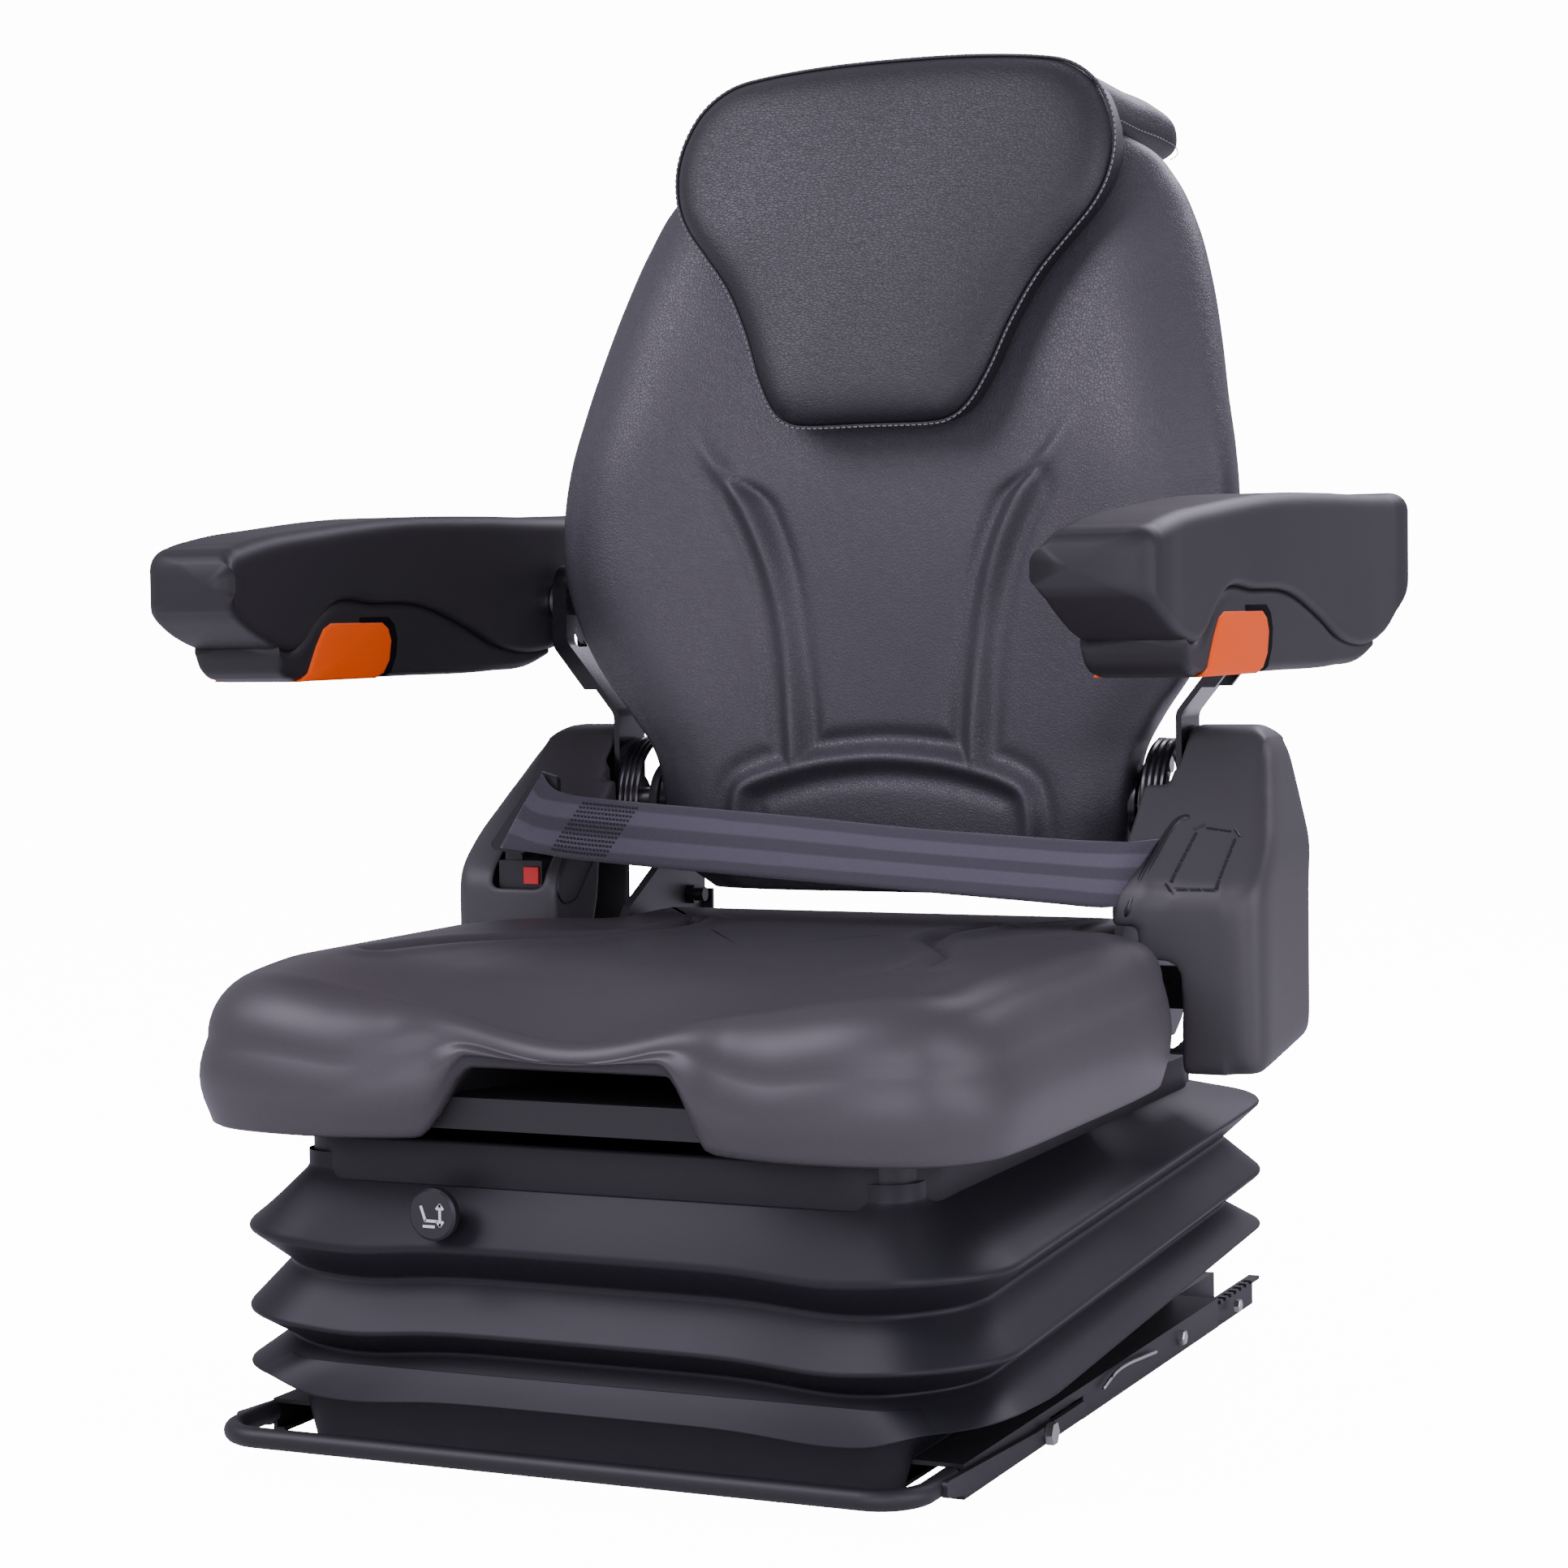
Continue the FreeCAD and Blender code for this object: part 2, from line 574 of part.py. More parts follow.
def scissor_outer():
    parts = []
    for side in (-1, 1):
        xs = sorted([side * outer_arm_x, side * outer_arm_end])
        parts.append(arm_blade(xs[0], xs[1], ARM_PIN_R + ARM_PIN_PLAY))
        shaft = sorted([side * outer_arm_end, side * (outer_arm_end + 3.0 + ROLLER_WIDTH)])
        parts.append(pin_x(shaft[0], shaft[1], -arm_length, 0.0, ARM_PIN_R))
    reach = outer_arm_end + 9.0
    parts.append(pin_x(-reach, reach, 0.0, 0.0, ARM_TUBE_R))
    parts.append(pin_x(-outer_arm_x, outer_arm_x, -arm_length + 34.0, 0.0, ARM_TUBE_R))
    frame = parts[0].fuse(parts[1:])
    frame.rotate(vec(0, 0, 0), vec(1, 0, 0), arm_angle)
    frame.translate(vec(0, ARM_PIVOT_Y, top_pivot_z))
    return frame


save("scissor_arm_inner", scissor_inner())
save("scissor_arm_outer", scissor_outer())

middle_pin = pin_x(ARM_INNER_X, outer_arm_end + 4.0, middle_y, middle_z, ARM_PIN_R)
middle_pin = middle_pin.fuse(pin_x(outer_arm_end + 1.0, outer_arm_end + 4.0, middle_y, middle_z,
                                   ARM_PIN_R + 4.0))
save("scissor_middle_pins", both_sides(middle_pin))


def roller(x0, y, z):
    ring = pin_x(x0, x0 + ROLLER_WIDTH, y, z, ROLLER_R)
    return ring.cut(pin_x(x0, x0 + ROLLER_WIDTH, y, z, ARM_PIN_R + RUN_GAP))


save("upper_rollers", both_sides(roller(ARM_INNER_X - 3.0 - ROLLER_WIDTH, front_y, top_pivot_z)))
save("lower_rollers", both_sides(roller(outer_arm_end + 3.0, front_y, pivot_z)))


# Air spring between the tray and the top frame: end plates and a rolled lobe
def air_spring():
    low = floor_top
    high = frame_under
    neck = AIR_SPRING_R - 14.0
    points = [(0.0, low), (neck, low), (neck, low + AIR_SPRING_PLATE)]
    lobe_low = low + AIR_SPRING_PLATE
    lobe_high = high - AIR_SPRING_PLATE
    waist = (lobe_low + lobe_high) / 2.0
    edges = []
    outline = [vec(r, 0.0, z) for r, z in points]
    for index in range(len(outline) - 1):
        edges.append(Part.LineSegment(outline[index], outline[index + 1]).toShape())
    quarter = (waist - lobe_low) / 2.0
    edges.append(Part.Arc(vec(neck, 0, lobe_low), vec(AIR_SPRING_R, 0, lobe_low + quarter),
                          vec(neck, 0, waist)).toShape())
    edges.append(Part.Arc(vec(neck, 0, waist), vec(AIR_SPRING_R, 0, waist + quarter),
                          vec(neck, 0, lobe_high)).toShape())
    edges.append(Part.LineSegment(vec(neck, 0, lobe_high), vec(neck, 0, high)).toShape())
    edges.append(Part.LineSegment(vec(neck, 0, high), vec(0, 0, high)).toShape())
    edges.append(Part.LineSegment(vec(0, 0, high), vec(0, 0, low)).toShape())
    return Part.Face(Part.Wire(edges)).revolve(vec(0, 0, 0), vec(0, 0, 1), 360.0)


save("air_spring", air_spring())

compressor = pin_y(COMPRESSOR_X, -COMPRESSOR_LENGTH / 2.0, COMPRESSOR_LENGTH / 2.0 - 26.0,
                   floor_top + 25.0, COMPRESSOR_R)
compressor = compressor.fuse(block(COMPRESSOR_X - 18.0, COMPRESSOR_X + 18.0, COMPRESSOR_LENGTH / 2.0 - 26.0,
                                   COMPRESSOR_LENGTH / 2.0, floor_top + 6.0, floor_top + 60.0))
compressor = compressor.fuse(block(COMPRESSOR_X - 16.0, COMPRESSOR_X + 16.0, -COMPRESSOR_LENGTH / 2.0 + 6.0,
                                   COMPRESSOR_LENGTH / 2.0 - 8.0, floor_top, floor_top + 8.0))
save("air_compressor", compressor)

# Damper: a tube on the tray and a rod from the top frame that runs into it
damper_span = DAMPER_UPPER_Y - DAMPER_LOWER_Y
damper_rise = damper_high_z - damper_low_z
damper_angle = math.degrees(math.atan2(damper_rise, damper_span))
damper_length = math.hypot(damper_rise, damper_span)
damper_tube_end = damper_length * 0.55


def damper_tube():
    body_start = DAMPER_EYE_R + 8.0
    body = pin_y(0.0, body_start, damper_tube_end, 0.0, DAMPER_TUBE_R)
    bore = pin_y(0.0, body_start + DAMPER_WALL, damper_tube_end - 4.0, 0.0, DAMPER_TUBE_R - DAMPER_WALL)
    neck = pin_y(0.0, 0.0, body_start, 0.0, ear_half - 1.0)
    mouth = pin_y(0.0, damper_tube_end - 4.0, damper_tube_end, 0.0, DAMPER_ROD_R + DAMPER_ROD_PLAY)
    eye = pin_x(-ear_half, ear_half, 0.0, 0.0, DAMPER_EYE_R)
    tube = body.cut(bore).cut(mouth).fuse([neck, eye])
    tube = tube.cut(pin_x(-ear_half, ear_half, 0.0, 0.0, DAMPER_PIN_R + RUN_GAP))
    tube.rotate(vec(0, 0, 0), vec(1, 0, 0), damper_angle)
    tube.translate(vec(DAMPER_X, DAMPER_LOWER_Y, damper_low_z))
    return tube


def damper_rod():
    reach = damper_length - damper_tube_end + 36.0
    rod = pin_y(0.0, -reach, -DAMPER_EYE_R + 2.0, 0.0, DAMPER_ROD_R)
    rod = rod.fuse(pin_y(0.0, -reach - 8.0, -reach, 0.0, DAMPER_ROD_R + 4.0))
    rod = rod.fuse(pin_x(-ear_half, ear_half, 0.0, 0.0, DAMPER_EYE_R))
    rod = rod.cut(pin_x(-ear_half, ear_half, 0.0, 0.0, DAMPER_PIN_R + RUN_GAP))
    rod.rotate(vec(0, 0, 0), vec(1, 0, 0), damper_angle)
    rod.translate(vec(DAMPER_X, DAMPER_UPPER_Y, damper_high_z))
    return rod


save("damper_tube", damper_tube())
save("damper_rod", damper_rod())

pin_reach = ear_half + RUN_GAP + 3.0
save("damper_pin_lower", pin_x(DAMPER_X - pin_reach, DAMPER_X + pin_reach, DAMPER_LOWER_Y, damper_low_z,
                               DAMPER_PIN_R))
save("damper_pin_upper", pin_x(DAMPER_X - pin_reach, DAMPER_X + pin_reach, DAMPER_UPPER_Y, damper_high_z,
                               DAMPER_PIN_R))


# Bellows: three folds lofted between rounded rings that climb towards the rear
def bellows_ring(half_x, y0, y1, corner, z, rise):
    middle = (y0 + y1) / 2.0
    slope = rise / (BELLOWS_CREST_REAR - BELLOWS_CREST_FRONT)
    corners = [(-half_x, y0, corner), (half_x, y0, corner), (half_x, y1, corner), (-half_x, y1, corner)]
    ring = rounded_wire(corners, lambda x, y: (x, y, 0.0))
    ring.rotate(vec(0, middle, 0), vec(1, 0, 0), math.degrees(math.atan(slope)))
    ring.translate(vec(0, 0, z))
    return ring


def bellows_skin(inset):
    foot_x = TRAY_HALF_WIDTH + RUN_GAP + BELLOWS_WALL - inset
    head_x = TOP_HALF_WIDTH + RUN_GAP + BELLOWS_WALL - inset
    side = foot_x - TRAY_HALF_WIDTH
    head = head_x - TOP_HALF_WIDTH
    foot_z = rail_top + RUN_GAP
    head_z = frame_top - 8.0
    rings = [bellows_ring(foot_x, TRAY_FRONT - side, TRAY_REAR + side, 18.0 + side, foot_z, 0.0),
             bellows_ring(foot_x, TRAY_FRONT - side, TRAY_REAR + side, 18.0 + side, foot_z + 6.0, 0.0)]
    crest = BELLOWS_CREST_X - inset
    front = BELLOWS_CREST_FRONT + inset
    rear = BELLOWS_CREST_REAR - inset
    valley = BELLOWS_VALLEY_INSET
    for fold in range(3):
        z = BELLOWS_FIRST_CREST + BELLOWS_PITCH * fold
        if fold > 0:
            low = z - BELLOWS_PITCH / 2.0
            rings.append(bellows_ring(crest - valley, front + valley, rear - valley,
                                      BELLOWS_CORNER_R - valley / 2.0, low, BELLOWS_RISE))
        rings.append(bellows_ring(crest, front, rear, BELLOWS_CORNER_R, z, BELLOWS_RISE))
    rings.append(bellows_ring(head_x, TOP_FRONT - head, TOP_REAR + head, 18.0 + head, head_z - 10.0, 0.0))
    rings.append(bellows_ring(head_x, TOP_FRONT - head, TOP_REAR + head, 18.0 + head, head_z, 0.0))
    return Part.makeLoft(rings, True, True)


button_z = frame_top - BUTTON_DROP
bellows = bellows_skin(0.0).cut(bellows_skin(BELLOWS_WALL))
bellows = bellows.cut(pin_y(BUTTON_X, BELLOWS_CREST_FRONT - 5.0, TOP_FRONT + 20.0, button_z,
                            BUTTON_STEM_R + 2.0))
save("bellows", bellows)

# Height valve behind the bellows and its round push button in front
valve_front = TOP_FRONT + 8.0
valve = block(BUTTON_X - 15.0, BUTTON_X + 15.0, valve_front, valve_front + 26.0, button_z - 14.0,
              button_z + 14.0)
valve = valve.fuse(block(BUTTON_X - 15.0, BUTTON_X + 15.0, valve_front + 10.0, valve_front + 13.0,
                         button_z + 10.0, frame_under))
stem_hole = pin_y(BUTTON_X, valve_front, valve_front + 20.0, button_z, BUTTON_STEM_R + RUN_GAP)
save("height_valve", valve.cut(stem_hole))

button_back = BELLOWS_CREST_FRONT - BUTTON_TRAVEL - 0.5
button_disc = pin_y(BUTTON_X, button_back - 6.0, button_back, button_z, BUTTON_R)
rim_edges = [edge for edge in button_disc.Edges if abs(edge.CenterOfMass.y - (button_back - 6.0)) < 0.1]
button_disc = button_disc.makeChamfer(1.5, rim_edges)
button_stem = pin_y(BUTTON_X, button_back, valve_front + 20.0 - BUTTON_TRAVEL - RUN_GAP, button_z,
                    BUTTON_STEM_R)
save("height_button", button_disc.fuse(button_stem))

# Seat pan on two runners, and the moulded seat cushion around it
pan = tray_shell(PAN_HALF_WIDTH, PAN_FRONT, PAN_REAR, pan_bottom, pan_top, pan_bottom - 1.0,
                 pan_top - SHEET)
save("seat_pan", pan)

runner = block(RUNNER_X, RUNNER_X + RUNNER_WIDTH, TOP_FRONT + 40.0, PAN_REAR - 20.0, frame_top,
               pan_top - SHEET)
channel = block(RUNNER_X + SHEET, RUNNER_X + RUNNER_WIDTH - SHEET, TOP_FRONT + 40.0, PAN_REAR - 20.0,
                frame_top, pan_top - 2.0 * SHEET)
save("pan_runners", both_sides(runner.cut(channel)))


def seat_cushion():
    half = CUSHION_HALF_WIDTH
    waist = CUSHION_WAIST
    dip = NOTCH_HALF_WIDTH
    right = [(dip, CUSHION_DIP_FRONT, 18.0), (dip + 34.0, CUSHION_FRONT, 26.0), (half, CUSHION_FRONT, 62.0),
             (half, CUSHION_SHOULDER_Y, 26.0), (waist, CUSHION_SHOULDER_Y + 22.0, 14.0),
             (waist, CUSHION_REAR, 30.0)]
    left = [(-x, y, r) for x, y, r in reversed(right)]
    crown = cushion_top + 3.0
    solid = plate_xy(right + left, cushion_bottom, crown + 5.0)
    low = cushion_bottom - 1.0
    nose = CUSHION_FRONT - 1.0
    tail = CUSHION_REAR + 1.0
    side = [(nose, low, 0.0), (nose, cushion_top - CUSHION_NOSE_DROP, CUSHION_ROUND),
            (CUSHION_FRONT + 4.0 * CUSHION_ROUND, cushion_top, 200.0), (tail, cushion_top, 16.0),
            (tail, low, 0.0)]
    edge = half + 1.0
    flat = half - 2.0 * CUSHION_ROUND
    shoulder = cushion_top - CUSHION_SIDE_DROP
    across = [(-edge, low, 0.0), (-edge, shoulder, CUSHION_ROUND), (-flat, crown, 150.0),
              (flat, crown, 150.0), (edge, shoulder, CUSHION_ROUND), (edge, low, 0.0)]
    solid = solid.common(plate_yz(side, -edge - 5.0, edge + 5.0))
    solid = solid.common(plate_xz(across, nose - 5.0, tail + 5.0))
    pocket_gap = 1.0
    pocket = block(-PAN_HALF_WIDTH - RECLINE_SHEET - pocket_gap,
                   PAN_HALF_WIDTH + RECLINE_SHEET + pocket_gap,
                   PAN_FRONT - pocket_gap, CUSHION_REAR, cushion_bottom, pan_top)
    solid = solid.cut(pocket)
    mouth = plate_xz([(-dip, cushion_bottom - 5.0, 0.0), (dip, cushion_bottom - 5.0, 0.0),
                      (dip - 8.0, cushion_bottom + NOTCH_HEIGHT, 12.0),
                      (-dip + 8.0, cushion_bottom + NOTCH_HEIGHT, 12.0)], CUSHION_FRONT, PAN_FRONT)
    return solid.cut(mouth).removeSplitter()


save("seat_cushion", seat_cushion())

# Recline joint: seat-side plates, backrest hinge arms, shafts and torsion springs.
# The left pieces are drawn with negative X and mirrored for the right.
plate_inner = PAN_HALF_WIDTH
plate_outer = plate_inner + RECLINE_SHEET
hinge_outer = plate_inner - 2.5
hinge_inner = hinge_outer - HINGE_ARM_SHEET
pan_foot = pan_bottom


def recline_plate():
    plate_front = STOP_Y - 140.0
    outline = [(plate_front, pan_foot, 4.0), (plate_front, pan_top + 16.0, 8.0),
               (STOP_Y - 92.0, STOP_Z - 1.0, 10.0),
               (RECLINE_Y - 22.0, STOP_Z + 24.0, 8.0), (RECLINE_Y - 20.0, RECLINE_Z, 4.0),
               (RECLINE_Y + 20.0, RECLINE_Z, 4.0), (STOP_Y + 27.0, STOP_Z + 12.0, 8.0),
               (STOP_Y + 27.0, pan_foot + 12.0, 10.0), (STOP_Y + 8.0, pan_foot, 6.0)]
    plate = plate_yz(outline, -plate_outer, -plate_inner)
    plate = plate.fuse(pin_x(-plate_outer, -plate_inner, RECLINE_Y, RECLINE_Z, RECLINE_EYE_R))
    flange = block(-plate_outer, -hinge_inner, STOP_Y + 24.0, STOP_Y + 27.0, pan_foot + 24.0, STOP_Z + 2.0)
    plate = plate.fuse(flange)
    plate = plate.cut(pin_x(-plate_outer, -plate_inner, RECLINE_Y, RECLINE_Z, RECLINE_SHAFT_R + RUN_GAP))
    return plate.removeSplitter()


save_pair("recline_plate", recline_plate())

stop_tip = hinge_inner - 6.0
stop = hex_x(-plate_inner, -hinge_inner - 1.0, STOP_Y, STOP_Z, 2.0 * STOP_R)
stop = stop.fuse(pin_x(-hinge_inner - 1.0, -stop_tip, STOP_Y, STOP_Z, STOP_R - 1.5))
save("recline_stops", both_sides(stop))


def hinge_arm():
    arm = plate_yz([(RECLINE_Y - 24.0, RECLINE_Z - 6.0, 8.0), (RECLINE_Y + 24.0, RECLINE_Z - 16.0, 8.0),
                    (RECLINE_Y + 64.0, RECLINE_Z + 34.0, 8.0), (RECLINE_Y + 40.0, RECLINE_Z + 46.0, 8.0)],
                   -hinge_outer, -hinge_inner)
    arm = arm.fuse(pin_x(-hinge_outer, -hinge_inner, RECLINE_Y, RECLINE_Z, RECLINE_EYE_R))
    return arm.cut(pin_x(-hinge_outer, -hinge_inner, RECLINE_Y, RECLINE_Z,
                         RECLINE_SHAFT_R)).removeSplitter()


save_pair("hinge_arm", hinge_arm())

spring_room = SPRING_TURNS * 2.0 * SPRING_WIRE_R
bracket_inner = BRACKET_LANE_X
shaft = pin_x(-bracket_inner - BRACKET_SHEET, -hinge_inner, RECLINE_Y, RECLINE_Z, RECLINE_SHAFT_R)
save("recline_shafts", both_sides(shaft))


def torsion_spring():
    # Close-wound coils; the inner end turns in to the shaft's collar on the plate
    x0 = -plate_outer - 0.2
    coils = []
    for turn in range(SPRING_TURNS):
        x = x0 - SPRING_WIRE_R * (2.0 * turn + 1.0)
        rim = []
        for corner in range(9):
            turn_angle = math.radians(45.0 * corner + 22.5)
            rim.append(vec(x + SPRING_WIRE_R * math.cos(turn_angle), RECLINE_Y,
                           RECLINE_Z + SPRING_R + SPRING_WIRE_R * math.sin(turn_angle)))
        profile = Part.makePolygon(rim)
        coils.append(Part.Face(profile).revolve(vec(x, RECLINE_Y, RECLINE_Z), vec(1, 0, 0), 360.0))
    tail = block(x0 - 2.0 * SPRING_WIRE_R + 0.6, x0 - 0.6, RECLINE_Y - SPRING_WIRE_R,
                 RECLINE_Y + SPRING_WIRE_R,
                 RECLINE_Z - SPRING_R, RECLINE_Z - RECLINE_SHAFT_R - RUN_GAP)
    joints = []
    for turn in range(SPRING_TURNS - 1):
        x = x0 - SPRING_WIRE_R * (2.0 * turn + 2.0)
        joints.append(pin_x(x - SPRING_WIRE_R, x + SPRING_WIRE_R, RECLINE_Y, RECLINE_Z - SPRING_R,
                            SPRING_WIRE_R * 0.8))
    return coils[0].fuse(coils[1:] + joints + [tail])


save_pair("recline_spring", torsion_spring())

# Backrest: stacked sections from (share of the height, half width, front, rear, bolster)
back_height = BACK_TOP - BACK_BOTTOM
back_shape = [(0.0, 142.0, 198.0, 252.0, 2.0), (0.027, 157.0, 192.0, 262.0, 6.0),
              (0.09, 167.0, 188.0, 272.0, 9.0), (0.197, 168.4, 190.0, 280.0, 10.0),
              (0.285, 194.0, 195.0, 284.0, 16.0), (0.383, 222.0, 199.0, 288.0, 24.0),
              (0.51, 237.0, 204.0, 294.0, 26.0), (0.676, 224.0, 212.0, 302.0, 20.0),
              (0.848, 203.0, 226.0, 312.0, 12.0), (0.941, 176.0, 238.0, 316.0, 6.0),
              (1.0, 138.0, 250.0, 312.0, 2.0)]
back_levels = [(BACK_BOTTOM + back_height * share, *rest) for share, *rest in back_shape]


def back_section(z, half, front, rear, bolster):
    side = [(0.0, front), (0.42 * half, front - 0.25 * bolster), (0.78 * half, front - bolster),
            (0.96 * half, front - 0.3 * bolster), (half, front + 0.45 * (rear - front)),
            (0.93 * half, rear - 6.0), (0.5 * half, rear), (0.0, rear)]
    loop = [(x, y) for x, y in side] + [(-x, y) for x, y in reversed(side[1:-1])]
    return smooth_ring([vec(x, y, z) for x, y in loop])


back_cushion = Part.makeLoft([back_section(*level) for level in back_levels], True)
save("back_cushion", back_cushion)


def shell_section(z, half, front, rear, bolster):
    # A plain oval that reaches into the backrest; the backrest's own form is then cut out of it
    half_x = 0.84 * half
    near = rear - 26.0
    far = rear + SHELL_DEPTH
    middle = (near + far) / 2.0
    points = []
    for step in range(12):
        turn = 2.0 * math.pi * step / 12.0
        c = math.cos(turn)
        s = math.sin(turn)
        x = math.copysign(abs(c) ** 0.6, c) * half_x
        y = math.copysign(abs(s) ** 0.6, s) * (far - near) / 2.0
        points.append(vec(x, middle + y, z))
    return smooth_ring(points)


def back_room(z, half, front, rear, bolster):
    return back_section(z, half + BACK_GAP, front - BACK_GAP, rear + BACK_GAP, bolster)


back_shell = Part.makeLoft([shell_section(*level) for level in back_levels[1:-1]], True)
room_for_back = Part.makeLoft([back_room(*level) for level in back_levels], True)
back_shell = back_shell.cut(room_for_back)
save("back_shell", back_shell)

arm_screws = []
for y, z in ((RECLINE_Y + 44.0, RECLINE_Z + 26.0), (RECLINE_Y + 48.0, RECLINE_Z + 8.0)):
    screw = pin_x(-hinge_outer - 3.5, -hinge_outer, y, z, 5.5)
    arm_screws.append(screw)
    arm_screws.append(mirrored(screw))
save("hinge_screws", Part.makeCompound(arm_screws))


# Head pad: a shield in front that folds over the backrest's top
def head_pad():
    base_y = 176.0
    lean = 70.0
    height = HEAD_PAD_TOP - HEAD_PAD_BOTTOM
    thick = HEAD_PAD_THICKNESS
    top_under = BACK_TOP + RUN_GAP
    shell_back = 316.0 + SHELL_DEPTH + 4.0
    flap = HEAD_PAD_TOP - 68.0
    front_low = base_y
    front_high = base_y + lean
    low_inner = front_low + thick
    side = [(front_low, HEAD_PAD_BOTTOM, 9.0), (front_high, HEAD_PAD_TOP, 26.0),
            (HEAD_PAD_REAR, HEAD_PAD_TOP - 22.0, 20.0),
            (HEAD_PAD_REAR + 4.0, flap, 5.0), (shell_back, flap, 5.0), (shell_back, top_under, 8.0),
            (front_high + thick - 10.0, top_under, 8.0), (low_inner, HEAD_PAD_BOTTOM, 9.0)]
    profile = plate_yz(side, -170.0, 170.0)
    right = [(62.0, 0.0, 22.0), (92.0, 0.18, 60.0), (117.0, 0.4, 60.0), (156.0, 0.68, 50.0),
             (150.0, 1.0, 46.0)]
    right = [(x, HEAD_PAD_BOTTOM + height * share, r) for x, share, r in right]
    outline = right + [(-x, z, r) for x, z, r in reversed(right)]
    shield = plate_xz(outline, base_y - 20.0, HEAD_PAD_REAR + 20.0)
    return profile.common(shield).cut([room_for_back], 0.01)


save("head_pad", head_pad())


# Side covers: thin moulded shells, open towards the recline joint
def cover_body(inset, inner_x):
    y_front = COVER_FRONT + inset
    y_rear = COVER_REAR - inset
    low = COVER_BOTTOM + inset
    high = COVER_TOP - inset
    side = [(y_front + 3.0, low, 8.0), (y_front, COVER_KNEE_Z, 26.0), (y_front + 108.0, high, 26.0),
            (y_rear + 30.0, high + 2.0, 15.0), (y_rear, COVER_KNEE_Z - 1.0, 40.0),
            (y_rear, low + 15.0, 8.0)]
    outer = COVER_OUTER_X - inset
    front = [(-inner_x, low - 10.0, 0.0), (-outer, low - 10.0, 0.0), (-outer, COVER_KNEE_Z + 24.0, 80.0),
             (-outer + 26.0, high + 4.0, 34.0), (-inner_x, high + 4.0, 0.0)]
    wide = outer + 1.5
    plan = [(-inner_x, y_front - 10.0, 0.0), (-inner_x, y_rear + 60.0, 0.0),
            (-outer + 40.0, y_rear + 60.0, 0.0),
            (-wide, y_rear + 8.0, 36.0), (-wide, y_front - 4.0, 30.0), (-outer + 60.0, y_front - 10.0, 0.0)]
    body = plate_yz(side, -outer - 5.0, -inner_x)
    body = body.common(plate_xz(front, y_front - 30.0, y_rear + 80.0))
    return body.common(plate_xy(plan, low - 20.0, high + 20.0))


def side_cover():
    body = cover_body(0.0, COVER_INNER_X)
    hollow = cover_body(COVER_WALL, COVER_INNER_X - 10.0)
    shell = body.cut(hollow)
    notch = plate_xz([(-COVER_INNER_X + 5.0, COVER_BOTTOM - 5.0, 0.0),
                      (-COVER_INNER_X - 26.0, COVER_BOTTOM - 5.0, 0.0),
                      (-COVER_INNER_X - 26.0, NOTCH_TOP, 10.0), (-COVER_INNER_X + 5.0, NOTCH_TOP, 0.0)],
                     COVER_FRONT - 17.0, COVER_FRONT + 53.0)
    return shell.cut(notch)


cover_left = side_cover()
cover_right = mirrored(cover_left)
socket_low = BUCKLE_TOP - 18.0
socket_high = BUCKLE_TOP + 16.0
socket = plate_xz([(-COVER_INNER_X - 46.0, socket_low, 2.0), (-COVER_INNER_X - 46.0, socket_high, 2.0),
                   (-COVER_INNER_X - 9.0, socket_high, 2.0), (-COVER_INNER_X - 9.0, socket_low, 2.0)],
                  COVER_FRONT - 12.0, COVER_FRONT + 33.0)
save("side_cover_left", cover_left.cut(socket))
slot_low = BELT_RIGHT_Z - 26.0
slot_high = BELT_RIGHT_Z + 36.0
slot = plate_xz([(COVER_INNER_X + 3.0, slot_low, 4.0), (COVER_INNER_X + 18.0, slot_low, 4.0),
                 (COVER_INNER_X + 36.0, slot_high, 4.0), (COVER_INNER_X + 9.0, slot_high, 4.0)],
                COVER_FRONT - 12.0, COVER_FRONT + 93.0)
save("side_cover_right", cover_right.cut(slot))

mount_y = COVER_REAR - 22.0
mount_low = BELT_MOUNT_Z - 4.0
mount_high = BELT_MOUNT_Z + 24.0
cover_bracket = block(-COVER_INNER_X - 30.0, -plate_outer, mount_y - 6.0, mount_y, mount_low, mount_high)
cover_bracket = cover_bracket.fuse(block(-plate_outer - 4.0, -plate_outer, mount_y - 28.0, mount_y,
                                         mount_low, mount_high))
cover_bracket = cover_bracket.fuse(block(-COVER_OUTER_X + COVER_WALL, -COVER_INNER_X - 26.0,
                                         mount_y - 36.0, mount_y,
                                         mount_low, BELT_MOUNT_Z))
save_pair("cover_bracket", cover_bracket)


# Armrest brackets: dog-legged dishes pressed from sheet, with a round end, fixed to the recline shafts
bracket_lean = math.tan(0.5 * math.atan2(BRACKET_TOP_X - BRACKET_LANE_X,
                                         BRACKET_SHOULDER_Z - BRACKET_KNEE_Z))


def bracket_strip(near, far, z_low):
    # Bent strip between two distances outward from the inner face
    inner = [(-BRACKET_LANE_X - near, z_low, 0.0),
             (-BRACKET_LANE_X - near, BRACKET_KNEE_Z - bracket_lean * near, 10.0),
             (-BRACKET_TOP_X - near, BRACKET_SHOULDER_Z - bracket_lean * near, 10.0),
             (-BRACKET_TOP_X - near, BRACKET_TOP_Z, 0.0)]
    outer = [(-BRACKET_LANE_X - far, z_low, 0.0),
             (-BRACKET_LANE_X - far, BRACKET_KNEE_Z - bracket_lean * far, 10.0),
             (-BRACKET_TOP_X - far, BRACKET_SHOULDER_Z - bracket_lean * far, 10.0),
             (-BRACKET_TOP_X - far, BRACKET_TOP_Z, 0.0)]
    return outer + inner[::-1]


